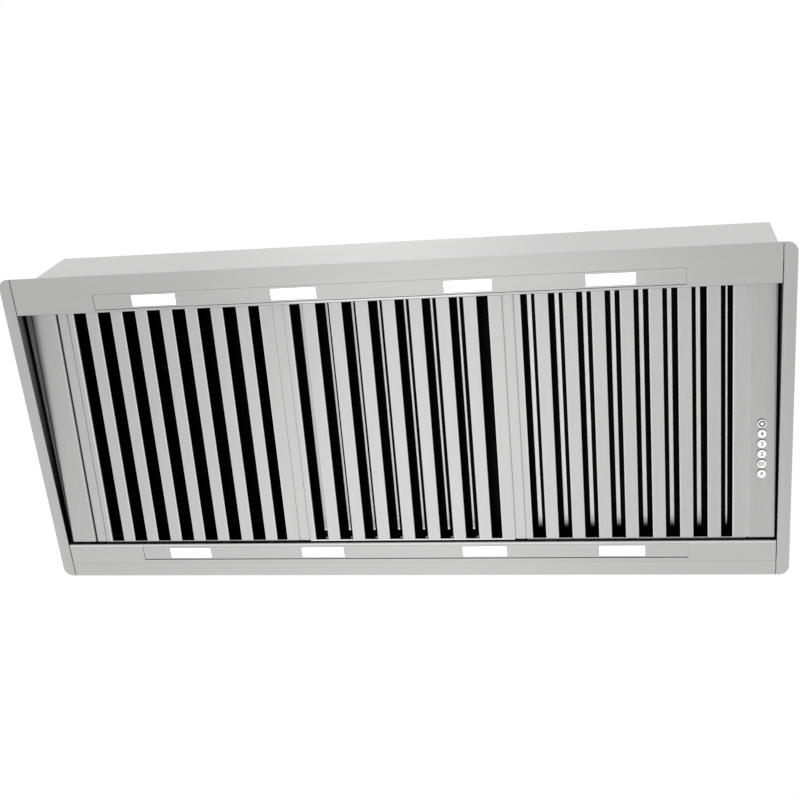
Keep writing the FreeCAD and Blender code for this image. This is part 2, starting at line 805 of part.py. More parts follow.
def make_filters():
    """Makes the three filters, the pivots that they hang on and the magnets that hold them shut."""
    pivots = []
    magnets = []
    for bay, side in enumerate(("left", "centre", "right")):
        x = f"({BAY_START} + {bay} * {BAY_PITCH} + rail_width + filter_side_gap)"
        filter_frame(f"filter_{side}_frame", x)
        filter_slats(f"filter_{side}_slats", x)
        filter_baffles(f"filter_{side}_baffles", x)
        start = f"({bay} * {BAY_PITCH} + rail_width)"
        opening = f"({FILTER_WIDTH} + 2 * filter_side_gap)"
        for low in (start, f"({start} + {opening} - pivot_reach)"):
            pivots.append(rod("x", low, PIVOT_Y, "pivot_level", "pivot_radius", "pivot_reach"))
        filter_top = (
            f"(panel_rise + ({INNER_Y} - {REAR_BEAM_Y} + magnet_depth) * tan(panel_tilt)"
            " + filter_height / cos(panel_tilt) + fit_gap)"
        )
        for offset in ("-magnet_spread / 2", "magnet_spread / 2"):
            middle = f"({x} + {FILTER_WIDTH} / 2 + {offset})"
            along = (f"{middle} - magnet_length / 2", f"{middle} + magnet_length / 2")
            depth = (f"({REAR_BEAM_Y} - magnet_depth)", REAR_BEAM_Y)
            magnets.append(box(along, depth, (filter_top, f"{filter_top} + magnet_height")))
    lean(piece(group(*pivots), "filter_pivots"), BAY_START)
    piece(group(*magnets), "catch_magnets")


def lens_slab(x, y, grow, z):
    """Makes a block of a lens's outline, grown on every side."""
    across = (f"{x} - lens_length / 2 - {grow}", f"{x} + lens_length / 2 + {grow}")
    along = (f"{y} - lens_width / 2 - {grow}", f"{y} + lens_width / 2 + {grow}")
    return box(across, along, z)


def make_light_bar(name, side):
    """Makes a light bar in the slot of a cross strip, with its lenses, tray and board."""
    middle = signed(side, BAR_Y)
    half_length = "(bar_length / 2 - bar_left_gap)"
    plate = box(
        (minus(half_length), "bar_length / 2 - bar_gap"),
        (f"{middle} - bar_width / 2 + bar_gap", f"{middle} + bar_width / 2 - bar_rear_gap"),
        ("0", "bar_sheet"),
    )
    windows = []
    lenses = []
    for index in range(1, int(value("light_count")) + 1):
        x = f"({name}_light_{index}_share * bar_length)"
        windows.append(lens_slab(x, middle, "0", ("-overrun", "bar_sheet + overrun")))
        lens_top = "(bar_sheet + lens_rim_height)"
        window_fill = lens_slab(x, middle, "(-fit_gap)", ("lens_recess", lens_top))
        rim = lens_slab(x, middle, "lens_rim", ("bar_sheet", lens_top))
        lenses.append(join(window_fill, rim))
    drilled(f"light_bar_{name}", plate, *windows)
    piece(group(*lenses), f"light_lenses_{name}")
    tray_end = "(bar_length / 2 + tray_overhang)"
    inner_face = signed(side, f"{INNER_Y} + sheet + fit_gap")
    outer_face = signed(side, f"{WALL_Y} - sheet - fit_gap")
    low, high = (outer_face, inner_face) if side < 0 else (inner_face, outer_face)
    top = "(sheet + tray_height)"
    shell = box((minus(tray_end), tray_end), (low, high), ("sheet + inside_bend", top))
    hollow_end = f"({tray_end} - sheet)"
    hollow = box(
        (minus(hollow_end), hollow_end), (f"{low} + sheet", f"{high} - sheet"), ("0", f"{top} - sheet")
    )
    piece(cut(shell, hollow), f"light_tray_{name}")
    board = box(
        (minus(half_length), half_length),
        (f"{middle} - board_width / 2", f"{middle} + board_width / 2"),
        (f"{top} - sheet - board_sheet", f"{top} - sheet"),
    )
    piece(board, f"light_board_{name}")


def scroll_arcs(grow):
    """Gives the three quarter arcs of the scroll's spiral, moved outwards by a wall."""
    return [
        ("0", "0", f"{SCROLL_START} + {grow}", 1),
        ("scroll_growth", "0", f"{SCROLL_START} + scroll_growth + {grow}", 2),
        ("scroll_growth", "scroll_growth", f"{SCROLL_START} + 2 * scroll_growth + {grow}", 3),
    ]


def make_scroll():
    """Makes the blower's scroll and its two side plates, which hang under the housing's top."""
    far = f"({EXIT_WIDTH} + sheet)"
    scroll = body("blower_scroll")
    sketch = draw(scroll, "YZ_Plane")
    for arc in scroll_arcs("0") + scroll_arcs("sheet"):
        draw_quarter(sketch, *arc)
    path = [
        (EXIT_WIDTH, "scroll_growth"),
        (EXIT_WIDTH, SCROLL_TOP),
        (far, SCROLL_TOP),
        (far, "scroll_growth"),
    ]
    tongue = [
        ("0", SCROLL_START),
        ("sheet", SCROLL_START),
        ("sheet", SCROLL_TOP),
        ("0", SCROLL_TOP),
        ("0", f"{SCROLL_START} + sheet"),
    ]
    for run in (path, tongue):
        for start, end in zip(run, run[1:]):
            draw_line(sketch, start, end)
    pad(scroll, sketch, SCROLL_WIDTH, both_ways=True)
    place(scroll, "0", AXIS_Y, AXIS_Z)
    for label, offset in (
        ("blower_side_left", f"-{SCROLL_WIDTH} / 2 - sheet"),
        ("blower_side_right", f"{SCROLL_WIDTH} / 2"),
    ):
        plate = body(label)
        outline = draw(plate, "YZ_Plane", circles=[("0", "0", INLET_RADIUS)], offset=offset)
        for arc in scroll_arcs("sheet"):
            draw_quarter(outline, *arc)
        edge = [
            (far, "scroll_growth"),
            (far, SCROLL_TOP),
            ("0", SCROLL_TOP),
            ("0", f"{SCROLL_START} + sheet"),
        ]
        for start, end in zip(edge, edge[1:]):
            draw_line(outline, start, end)
        pad(plate, outline, "sheet")
        place(plate, "0", AXIS_Y, AXIS_Z)
    rings = []
    for start in (f"-{SCROLL_WIDTH} / 2", f"{SCROLL_WIDTH} / 2 - inlet_ring"):
        outside = rod("x", start, AXIS_Y, AXIS_Z, f"{INLET_RADIUS} + sheet", "inlet_ring")
        bore = rod("x", f"{start} - overrun", AXIS_Y, AXIS_Z, INLET_RADIUS, "inlet_ring + 2 * overrun")
        rings.append(cut(outside, bore))
    piece(group(*rings), "inlet_rings")


def make_motor():
    """Makes the motor in the left inlet, its three-armed bracket and its shaft."""
    face = "(-hub_length / 2 - motor_gap)"
    rear = f"({face} - motor_length)"
    can = rod("x", rear, AXIS_Y, AXIS_Z, MOTOR_RADIUS, "motor_length")
    seat_length = "(shaft_seat + fit_gap)"
    seat_radius = "shaft_radius + running_gap"
    seat_start = f"{face} - {seat_length}"
    seat = rod("x", seat_start, AXIS_Y, AXIS_Z, seat_radius, f"{seat_length} + overrun")
    piece(cut(can, seat), "motor")
    shaft_length = "(shaft_seat + motor_gap + hub_length + shaft_tip)"
    piece(rod("x", f"{face} - shaft_seat", AXIS_Y, AXIS_Z, "shaft_radius", shaft_length), "motor_shaft")
    bracket_x = f"(-{SCROLL_WIDTH} / 2 - sheet)"
    outer = f"({MOTOR_RADIUS} + clamp_rim)"
    ring = rod("x", f"{bracket_x} - clamp_length", AXIS_Y, AXIS_Z, outer, "clamp_length")
    arms = []
    for index in range(int(value("arm_count"))):
        arm = box(
            (f"{bracket_x} - arm_sheet", bracket_x),
            ("-arm_width / 2", "arm_width / 2"),
            (MOTOR_RADIUS, f"{INLET_RADIUS} + arm_overlap"),
        )
        arms.append(turned(arm, index))
    bore = rod("x", f"{bracket_x} - clamp_length - overrun", AXIS_Y, AXIS_Z, f"{MOTOR_RADIUS} + fit_gap",
               "clamp_length + 2 * overrun")
    piece(cut(join(ring, *arms), bore), "motor_bracket")


def turned(arm, index):
    """Turns an arm of the bracket about the blower's axis, by its share of a full turn."""
    holder = group(arm)
    angle = index * FULL_TURN / value("arm_count")
    holder.Placement = FreeCAD.Placement(
        FreeCAD.Vector(), FreeCAD.Rotation(FreeCAD.Vector(1, 0, 0), angle)
    )
    return place(holder, "0", AXIS_Y, AXIS_Z)


def make_impeller():
    """Makes the impeller: a disc on a hub, blades all round and a ring at each end."""
    wheel = body("impeller")
    bore = ("0", "0", "shaft_radius")
    disc = draw(wheel, "YZ_Plane", circles=[("0", "0", WHEEL_RADIUS), bore])
    pad(wheel, disc, "wheel_sheet", both_ways=True)
    hub = draw(wheel, "YZ_Plane", circles=[("0", "0", "hub_radius"), bore])
    pad(wheel, hub, "hub_length", both_ways=True)
    outer = f"({WHEEL_RADIUS} - ring_rim)"
    inner = f"({outer} - blade_depth)"
    tip_y = f"({outer} * cos(blade_sweep))"
    tip_z = f"({outer} * sin(blade_sweep))"
    blade = [(inner, "0"), (tip_y, tip_z), (tip_y, f"{tip_z} + blade_sheet"), (inner, "blade_sheet")]
    sketch = draw(wheel, "YZ_Plane", polygons=[blade])
    vane = pad(wheel, sketch, "wheel_width", both_ways=True)
    doc.recompute()
    fan = wheel.newObject("PartDesign::PolarPattern", "blades")
    fan.Originals = [vane]
    fan.Axis = (sketch, ["N_Axis"])
    bind(fan, Occurrences="blade_count")
    wheel.Tip = fan
    for offset in ("-wheel_width / 2", "wheel_width / 2 - wheel_sheet"):
        rim = [("0", "0", WHEEL_RADIUS), ("0", "0", f"{inner} - ring_rim")]
        pad(wheel, draw(wheel, "YZ_Plane", circles=rim, offset=offset), "wheel_sheet")
    place(wheel, "0", AXIS_Y, AXIS_Z)


def spigot_screw_places():
    """Gives the places of the four screws at the spigot's corners."""
    reach = "(spigot_radius + spigot_rim - spigot_screw_inset)"
    return [(x, y) for x in (minus(reach), reach) for y in (minus(reach), reach)]


def make_spigot():
    """Makes the duct spigot on the housing's top, with a ledge and two flaps inside it."""
    reach = "(spigot_radius + spigot_rim)"
    base = box((minus(reach), reach), (minus(reach), reach), ("housing_height", "housing_height + sheet"))
    tube = rod("z", "0", "0", "housing_height", "spigot_radius", "spigot_height")
    ledge_top = f"({FLAP_Z} - flap_sheet / 2 - fit_gap)"
    below = f"({ledge_top} - sheet - housing_height)"
    drill_start = "(housing_height - overrun)"
    tools = [
        rod("z", "0", "0", drill_start, SPIGOT_BORE, f"{below} + overrun"),
        rod("z", "0", "0", drill_start, f"{SPIGOT_BORE} - spigot_ledge", "spigot_height + overrun"),
        rod("z", "0", "0", ledge_top, SPIGOT_BORE, "spigot_height"),
    ]
    pin_hole = "flap_pin_radius + running_gap"
    pin_start = "(-spigot_radius - overrun)"
    for y in ("-flap_pin_offset", "flap_pin_offset"):
        tools.append(rod("x", pin_start, y, FLAP_Z, pin_hole, "2 * (spigot_radius + overrun)"))
    for x, y in spigot_screw_places():
        tools.append(rod("z", x, y, drill_start, "screw_hole_radius", "sheet + 2 * overrun"))
    solid = join(base, tube)
    for tool in tools[:-1]:
        solid = cut(solid, tool)
    drilled("duct_spigot", solid, tools[-1])
    flap_radius = f"({SPIGOT_BORE} - flap_gap)"
    for label, side in (("flap_front", -1), ("flap_back", 1)):
        disc = rod("z", "0", "0", f"{FLAP_Z} - flap_sheet / 2", flap_radius, "flap_sheet")
        near = signed(side, "flap_pin_offset")
        far = signed(side, "spigot_radius")
        low, high = (far, near) if side < 0 else (near, far)
        half = doc.addObject("Part::Common", "half_disc")
        half.Base = disc
        half.Tool = box(
            ("-spigot_radius", "spigot_radius"),
            (low, high),
            (f"{FLAP_Z} - flap_sheet", f"{FLAP_Z} + flap_sheet"),
        )
        pin_end = "(spigot_radius - flap_pin_end)"
        pin = rod("x", minus(pin_end), near, FLAP_Z, "flap_pin_radius", f"2 * {pin_end}")
        piece(join(half, pin), label)


def make_electrics():
    """Makes the control box, its lid and terminals, the driver, the capacitor and the cable gland."""
    half_x = "(box_length / 2)"
    half_y = "(box_depth / 2)"
    low = f"({CEILING} - box_height)"
    across = (f"{BOX_X} - {half_x}", f"{BOX_X} + {half_x}")
    along = (f"{BOX_Y} - {half_y}", f"{BOX_Y} + {half_y}")
    walls = box(across, along, (low, CEILING))
    inside_x = f"({half_x} - box_sheet)"
    inside_y = f"({half_y} - box_sheet)"
    hollow = box(
        (f"{BOX_X} - {inside_x}", f"{BOX_X} + {inside_x}"),
        (f"{BOX_Y} - {inside_y}", f"{BOX_Y} + {inside_y}"),
        (f"{low} - overrun", f"{CEILING} + overrun"),
    )
    piece(cut(walls, hollow), "control_box")
    piece(box(across, along, (f"{low} - box_sheet", low)), "control_box_lid")
    terminal_x = f"({BOX_X} - terminal_offset)"
    terminal_y = f"({BOX_Y} - terminal_offset)"
    terminals = box(
        (f"{terminal_x} - terminal_length / 2", f"{terminal_x} + terminal_length / 2"),
        (f"{terminal_y} - terminal_depth / 2", f"{terminal_y} + terminal_depth / 2"),
        (f"{CEILING} - terminal_height", CEILING),
    )
    piece(terminals, "terminal_block")
    driver = box(
        (f"{DRIVER_X} - driver_length / 2", f"{DRIVER_X} + driver_length / 2"),
        (f"{BOX_Y} - driver_depth / 2", f"{BOX_Y} + driver_depth / 2"),
        (f"{CEILING} - driver_height", CEILING),
    )
    piece(driver, "light_driver")
    can_low = f"{CEILING} - capacitor_length"
    can = rod("z", "capacitor_x", BOX_Y, can_low, "capacitor_radius", "capacitor_length")
    piece(can, "motor_capacitor")
    barrel_start = f"({CEILING} - gland_depth)"
    barrel = rod("z", BOX_X, BOX_Y, barrel_start, "gland_radius", f"housing_height - {barrel_start}")
    head = rod("z", BOX_X, BOX_Y, "housing_height", "gland_head_radius", "gland_head_height")
    bore = rod("z", BOX_X, BOX_Y, f"{barrel_start} - overrun", "gland_bore_radius",
               f"housing_height + gland_head_height - {barrel_start} + 2 * overrun")
    piece(cut(join(barrel, head), bore), "cable_gland")


def make_screws():
    """Makes the screws of the housing's sides and of the spigot."""
    outside = f"({WALL_X} + sheet)"
    side_screws = []
    for side in (-1, 1):
        shank_length = "(2 * sheet + screw_reach)"
        head_start = minus(f"{outside} + screw_head_height") if side < 0 else outside
        shank_start = minus(outside) if side < 0 else f"({outside} - {shank_length})"
        for y in side_screw_places():
            head = rod("x", head_start, y, "side_screw_level", "screw_head_radius", "screw_head_height")
            shank = rod("x", shank_start, y, "side_screw_level", "screw_radius", shank_length)
            side_screws.append(join(head, shank))
    piece(group(*side_screws), "side_screws")
    seat = "(housing_height + sheet)"
    shank_length = "(2 * sheet + screw_reach)"
    spigot_screws = []
    for x, y in spigot_screw_places():
        head = rod("z", x, y, seat, "screw_head_radius", "screw_head_height")
        shank = rod("z", x, y, f"{seat} - {shank_length}", "screw_radius", shank_length)
        spigot_screws.append(join(head, shank))
    piece(group(*spigot_screws), "spigot_screws")


def write_pieces():
    """Stops on any failed object or bad shape, and otherwise writes one file for each sub-part."""
    doc.recompute()
    failed = [thing.Name for thing in doc.Objects if {"Invalid", "Error"} & set(thing.State)]
    if failed:
        raise ValueError(f"failed objects: {failed}")
    for part in pieces:
        if part.Shape.isNull() or not part.Shape.isValid():
            raise ValueError(f"bad shape: {part.Label}")
    os.makedirs("parts", exist_ok=True)
    for part in pieces:
        part.Shape.exportStep(f"parts/{part.Label}.step")
        print(part.Label, len(part.Shape.Solids), round(part.Shape.Volume))


make_flange()
make_housing()
make_beams()
make_rails()
make_panels()
make_buttons()
make_switches()
make_filters()
make_light_bar("front", -1)
make_light_bar("back", 1)
make_scroll()
make_motor()
make_impeller()
make_spigot()
make_electrics()
make_screws()
write_pieces()
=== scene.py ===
import math

import bmesh
import bpy
from mathutils import Matrix, Vector


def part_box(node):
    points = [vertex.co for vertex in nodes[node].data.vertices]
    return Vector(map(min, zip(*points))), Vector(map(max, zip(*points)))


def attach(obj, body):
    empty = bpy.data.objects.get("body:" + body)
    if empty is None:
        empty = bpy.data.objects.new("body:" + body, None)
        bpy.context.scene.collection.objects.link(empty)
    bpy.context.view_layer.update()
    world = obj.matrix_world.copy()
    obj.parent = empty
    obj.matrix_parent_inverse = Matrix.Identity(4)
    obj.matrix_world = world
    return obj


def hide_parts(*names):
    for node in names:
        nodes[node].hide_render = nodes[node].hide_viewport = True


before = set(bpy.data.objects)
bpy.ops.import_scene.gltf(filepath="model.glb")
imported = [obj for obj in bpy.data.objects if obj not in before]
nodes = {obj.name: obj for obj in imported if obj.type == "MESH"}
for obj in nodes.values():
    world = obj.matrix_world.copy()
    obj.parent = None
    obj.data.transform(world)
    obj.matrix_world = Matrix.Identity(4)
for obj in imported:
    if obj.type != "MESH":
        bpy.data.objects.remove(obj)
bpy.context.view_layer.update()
scene = bpy.context.scene

BAYS = ("left", "centre", "right")
BUTTONS = ("timer", "power", "speed_2", "speed_3", "speed_4", "light")
RIGHT = (1, 0, 0)
LEFT = (-1, 0, 0)
BACK = (0, 1, 0)
UP = (0, 0, 1)

# The filters and panels lie in a plane that slopes from the back strip up to the front.
TILT = math.radians(4)
SLOPE_START = Vector((0, 0.205, 0.002))
SLOPE_BACK = Vector((0, math.cos(TILT), -math.sin(TILT)))
SLOPE_UP = Vector((0, math.sin(TILT), math.cos(TILT)))

# The slats and ribs of each filter repeat at this pitch, in metres.
RIB_PITCH = 0.0414


# Material tools

UNIT = (0, 1)
NOISE_CORE = (0.3, 0.7)
NOISE_SPAN = (0.25, 0.75)
NOISE_ROUGH = 0.55


def grey(level, warmth=0.0):
    """Gives a linear grey, slightly warm where warmth is above zero."""
    return (level * (1 + warmth), level, level * (1 - warmth), 1.0)


class Look:
    """A procedural material: a Principled shader and the nodes that feed it."""

    def __init__(self, name):
        self.material = bpy.data.materials.new(name)
        self.material.use_nodes = True
        self.tree = self.material.node_tree
        self.shader = self.tree.nodes["Principled BSDF"]
        self.coords = self.tree.nodes.new("ShaderNodeTexCoord")

    def put(self, socket, source):
        """Sets a socket to a value, or joins it to another node's output."""
        if isinstance(source, bpy.types.NodeSocket):
            self.tree.links.new(source, socket)
        else:
            socket.default_value = source

    def set(self, **inputs):
        """Sets inputs of the shader; words in a name are joined by underscores."""
        for name, source in inputs.items():
            self.put(self.shader.inputs[name.replace("_", " ")], source)

    def math(self, operation, *sources):
        """Gives the result of a sum on values or other nodes' outputs."""
        node = self.tree.nodes.new("ShaderNodeMath")
        node.operation = operation
        for socket, source in zip(node.inputs, sources):
            self.put(socket, source)
        return node.outputs[0]

    def both(self, first, *others):
        """Gives the product of masks or shares, which is full only where all of them are."""
        for other in others:
            first = self.math("MULTIPLY", first, other)
        return first

    def either(self, first, second):
        """Gives where at least one of two masks is full."""
        return self.math("MAXIMUM", first, second)

    def without(self, mask):
        """Gives where a mask is empty."""
        return self.ramp(mask, UNIT, 1.0, 0.0)

    def distance(self, source, place=0.0):
        """Gives how far a value is from a place, to either side."""
        return self.math("ABSOLUTE", self.math("SUBTRACT", source, place))

    def along(self, direction, start=(0, 0, 0), source=None):
        """Gives the distance from a start point along a direction, in metres."""
        place = self.tree.nodes.new("ShaderNodeVectorMath")
        place.operation = "SUBTRACT"
        self.put(place.inputs[0], source or self.coords.outputs["Object"])
        place.inputs[1].default_value = start
        dot = self.tree.nodes.new("ShaderNodeVectorMath")
        dot.operation = "DOT_PRODUCT"
        self.put(dot.inputs[0], place.outputs[0])
        dot.inputs[1].default_value = direction
        return dot.outputs["Value"]

    def depth(self):
        """Gives the height above the sloping plane."""
        return self.along(SLOPE_UP, SLOPE_START)

    def rear(self):
        """Gives the distance behind the sloping plane's rear edge, so it is below zero on the filters."""
        return self.along(SLOPE_BACK, SLOPE_START)

    def pitch_share(self, start):
        """Gives the place within a rib's pitch as a share, counted from a start."""
        return self.math("FRACT", self.math("DIVIDE", self.along(RIGHT, (start, 0, 0)), RIB_PITCH))

    def facing(self, direction):
        """Gives how far the surface's own normal points along a direction."""
        return self.along(direction, source=self.coords.outputs["Normal"])

    def ramp(self, source, span, start=0.0, end=1.0, smooth=True):
        """Maps a span of values to another one, and holds it beyond the ends."""
        node = self.tree.nodes.new("ShaderNodeMapRange")
        node.interpolation_type = "SMOOTHSTEP" if smooth else "LINEAR"
        node.clamp = True
        limits = {"From Min": span[0], "From Max": span[1], "To Min": start, "To Max": end}
        for name, number in limits.items():
            node.inputs[name].default_value = number
        self.put(node.inputs["Value"], source)
        return node.outputs["Result"]

    def mix(self, share, first, second):
        """Mixes two colours."""
        node = self.tree.nodes.new("ShaderNodeMix")
        node.data_type = "RGBA"
        colours = [socket for socket in node.inputs if socket.type == "RGBA"]
        self.put(node.inputs[0], share)
        self.put(colours[0], first)
        self.put(colours[1], second)
        return next(socket for socket in node.outputs if socket.type == "RGBA")

    def mapped(self, cells):
        """Gives the object's own coordinates, with a number of cells per metre along each axis."""
        mapping = self.tree.nodes.new("ShaderNodeMapping")
        mapping.inputs["Scale"].default_value = cells
        self.put(mapping.inputs["Vector"], self.coords.outputs["Object"])
        return mapping.outputs["Vector"]

    def noise(self, cells, detail=3.0):
        """Gives noise with a number of cells per metre along each axis."""
        node = self.tree.nodes.new("ShaderNodeTexNoise")
        node.inputs["Scale"].default_value = 1.0
        node.inputs["Detail"].default_value = detail
        node.inputs["Roughness"].default_value = NOISE_ROUGH
        self.put(node.inputs["Vector"], self.mapped(cells))
        return node.outputs["Fac"]

    def bump(self, height, distance, strength):
        """Roughens the shader's normal by a height."""
        node = self.tree.nodes.new("ShaderNodeBump")
        node.inputs["Strength"].default_value = strength
        node.inputs["Distance"].default_value = distance
        self.put(node.inputs["Height"], height)
        self.put(self.shader.inputs["Normal"], node.outputs["Normal"])


GRAIN = {"x": (5, 520, 520), "y": (520, 5, 520)}
STREAKS = {"x": (1.2, 95, 95), "y": (95, 1.2, 95)}
FINE_SHARE = 0.7
BROAD_SHARE = 0.3
STEEL_SPREAD = 0.03
STEEL_WARMTH = 0.006
SMOOTHER = 0.03
ROUGHER = 0.04
MATT = 0.9


class Steel(Look):
    """A brushed steel, with fine scratches and broader streaks along its grain."""

    def __init__(self, name, level, grain, rough=0.36):
        super().__init__(name)
        self.level = level
        fine = self.noise(GRAIN[grain], detail=4.0)
        broad = self.noise(STREAKS[grain], detail=2.0)
        tone = self.math("ADD", self.both(fine, FINE_SHARE), self.both(broad, BROAD_SHARE))
        dark = grey(level * (1 - STEEL_SPREAD), STEEL_WARMTH)
        light = grey(level * (1 + STEEL_SPREAD), STEEL_WARMTH)
        self.colour = self.mix(self.ramp(tone, NOISE_CORE), dark, light)
        self.roughness = self.ramp(fine, NOISE_SPAN, rough - SMOOTHER, rough + ROUGHER)
        self.metal = 1.0
        self.glow = None
        self.bump(fine, distance=0.00005, strength=0.25)

    def paint(self, mask, tone):
        """Gives the steel another grey where a mask is full."""
        self.colour = self.mix(mask, self.colour, grey(tone))

    def dull(self, mask):
        """Takes the metal's shine away where a mask is full."""
        self.metal = self.both(self.metal, self.without(mask))

    def roughen(self, mask):
        """Makes the steel matt where a mask is full."""
        self.roughness = self.either(self.roughness, self.both(mask, MATT))

    def light(self, mask, tone):
        """Gives the steel a painted glow where a mask is full."""
        before = grey(0.0) if self.glow is None else self.glow
        self.glow = self.mix(mask, before, grey(tone))

    def finish(self):
        """Joins what was collected to the shader, and gives the material."""
        self.set(Base_Color=self.colour, Roughness=self.roughness, Metallic=self.metal)
        if self.glow is not None:
            self.set(Emission_Color=self.glow, Emission_Strength=1.0)
        return self.material


# Steels. Each pair below says where a mask is empty and where it is full: a height above the sloping plane,
# a place along the hood or a distance, all in metres, a share of the pitch, or how far a surface faces a way.

# Painted shade: the near-black given to flanks, walls and hollows that stand in shade.
SHADE_TONE = 0.004
# Painted highlight: edges and bends are made this much lighter than their steel.
EDGE_HIGHLIGHT = 1.28
FLAT = (0.8, 0.95)
SKIN = (0.0007, 0.0016)


def sheet_steel(name, level, grain, **extra):
    """A plain brushed sheet."""
    return Steel(name, level, grain, **extra).finish()


SLAT_SHARE = 0.0205 / RIB_PITCH
SLAT_EDGE = (0.056, 0.03)
FAR_SLAT_EDGE = (SLAT_SHARE - SLAT_EDGE[0], SLAT_SHARE - SLAT_EDGE[1])


def slat_steel(name, level, start):
    """Slats: painted highlights on their edges and painted shade on their flanks inside the gaps."""
    look = Steel(name, level, "y")
    share = look.pitch_share(start)
    look.paint(look.either(look.ramp(share, SLAT_EDGE), look.ramp(share, FAR_SLAT_EDGE)), level * EDGE_HIGHLIGHT)
    inside = look.ramp(look.depth(), SKIN)
    look.paint(inside, SHADE_TONE)
    look.roughen(inside)
    return look.finish()


BEND_FACING = (0.08, 0.3)
BEND_DEPTH = (0.004, 0.003)
BEND_TONE = 0.9
FIRST_SEAM_END = (-0.508, -0.504)
FIRST_SEAM_GLOW = 0.2


def soften_bends(look, glow=0.16):
    """Makes the bends beside narrow seams dull with a faint painted glow that stands in for light in the seams,
    dimmer at the first seam, to hide the seams.
    """
    sideways = look.distance(look.facing(RIGHT))
    bend = look.both(look.ramp(sideways, BEND_FACING), look.ramp(look.depth(), BEND_DEPTH))
    look.paint(bend, look.level * BEND_TONE)
    look.dull(bend)
    look.light(look.both(bend, look.ramp(look.along(RIGHT), FIRST_SEAM_END, FIRST_SEAM_GLOW, 1.0)), glow)


def rail_steel(name, level):
    """Rails, whose seams are hardly seen under painted light on their bends."""
    look = Steel(name, level, "y")
    soften_bends(look)
    return look.finish()


LIT_START = (0.42, 0.44)
LIT_END = (0.515, 0.495)
CENTRE_FIRST_RIB = -0.13595


def lit_band(look, shift=0.0):
    """Gives the narrow band of each pitch of the centre filter that catches the light."""
    share = look.pitch_share(CENTRE_FIRST_RIB - RIB_PITCH / 2 + shift)
    return look.both(look.ramp(share, LIT_START), look.ramp(share, LIT_END))


LEFT_RIM = 0.0101
RIGHT_RIM = 0.0211
RIM_EDGE = (0.0023, 0.0012)
RIM_SKIN = (0.0012, 0.0007)
RIM_FLANK = (0.0012, 0.0007)
WALL_REAR = (-0.0066, -0.0062)
WALL_DEPTH = (0.0009, 0.0014)
GLINT_SHIFT = 0.0085
GLINT_LOW = (0.003, 0.0045)
GLINT_HIGH = (0.0115, 0.0095)
GLINT_TONE = 0.85


def frame_steel(name, level, bay):
    """Filter rims: seams hardly seen under painted light, painted highlights on the edges at the gaps, and
    painted shade on the flanks and on the wall behind the slats, where the centre filter has painted glints.
    """
    look = Steel(name, level, "y")
    soften_bends(look)
    low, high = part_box(f"filter_{bay}_frame")
    side = look.along(RIGHT)
    depth = look.depth()
    left, right = look.distance(side, low.x + LEFT_RIM), look.distance(side, high.x - RIGHT_RIM)
    edge = look.math("MINIMUM", left, right)
    look.paint(look.both(look.ramp(edge, RIM_EDGE), look.ramp(depth, RIM_SKIN)), level * EDGE_HIGHLIGHT)
    flank = look.both(look.ramp(depth, SKIN), look.ramp(edge, RIM_FLANK))
    forwards = look.ramp(look.facing(-SLOPE_BACK), FLAT)
    wall = look.both(forwards, look.ramp(look.rear(), WALL_REAR), look.ramp(depth, WALL_DEPTH))
    dark = look.either(flank, wall)
    look.paint(dark, SHADE_TONE)
    look.roughen(dark)
    if bay == "centre":
        glint = look.both(wall, lit_band(look, GLINT_SHIFT))
        glint = look.both(glint, look.ramp(depth, GLINT_LOW), look.ramp(depth, GLINT_HIGH))
        look.paint(glint, GLINT_TONE)
        look.dull(glint)
    return look.finish()


BAFFLE_LEVEL = 0.56
BAFFLE_TOP = (0.0366, 0.0369)
RIB_ABOVE = (0.0347, 0.0343)
RIB_BELOW = (0.0334, 0.0338)
RIB_TONE = 0.78
CENTRE_RIB_END = (-0.024, -0.016)
CENTRE_RIB_TIP = (-0.0105, -0.0095)
CENTRE_END_GLOW = 0.3
CENTRE_TIP_GLOW = 0.65
FIRST_RIB_LEFT = (-0.1396, -0.134)
FIRST_RIB_RIGHT = (-0.1332, -0.1338)
FIRST_RIB_DIM = 0.3
CENTRE_LAST_RIB = (0.141, 0.14)
RIGHT_RIB_END = (-0.0076, -0.0165)
RIGHT_RIB_DIM = 0.03
BEFORE_LAST_RIB = (0.5, 0.499)
LAST_RIB = (0.5, 0.501)
LAST_RIB_LIT = (0.507, 0.5075)
LAST_RIB_TONE = 0.97


def rib_faces(look, depth):
    """Gives where the lower faces of a filter's ribs lie."""
    down = look.ramp(look.facing(-SLOPE_UP), FLAT)
    return look.both(down, look.ramp(depth, RIB_ABOVE), look.ramp(depth, RIB_BELOW))


def shine_centre(look, ribs, side, rear):
    """Paints a highlight on a thin line of the centre filter's ribs, more on the first one, and lets their rear
    ends glow as a painted glint.
    """
    first = look.both(look.ramp(side, FIRST_RIB_LEFT, FIRST_RIB_DIM, 1.0), look.ramp(side, FIRST_RIB_RIGHT))
    lit = look.both(look.either(lit_band(look), first), look.ramp(side, CENTRE_LAST_RIB))
    ribs = look.both(ribs, lit)
    end = look.both(ribs, look.ramp(rear, CENTRE_RIB_END))
    look.dull(end)
    look.light(look.both(end, look.ramp(rear, CENTRE_RIB_TIP, CENTRE_END_GLOW, CENTRE_TIP_GLOW)), 1.0)
    look.paint(ribs, RIB_TONE)
    return ribs


def shine_right(look, ribs, side, rear):
    """Paints a highlight on the right filter's ribs, fading out near their rear ends, and on only part of the
    last rib, brighter there.
    """
    lit = look.either(look.ramp(side, BEFORE_LAST_RIB), look.ramp(side, LAST_RIB_LIT))
    ribs = look.both(ribs, look.ramp(rear, RIGHT_RIB_END, RIGHT_RIB_DIM, 1.0), lit)
    look.paint(ribs, RIB_TONE)
    look.paint(look.both(ribs, look.ramp(side, LAST_RIB)), LAST_RIB_TONE)
    return ribs


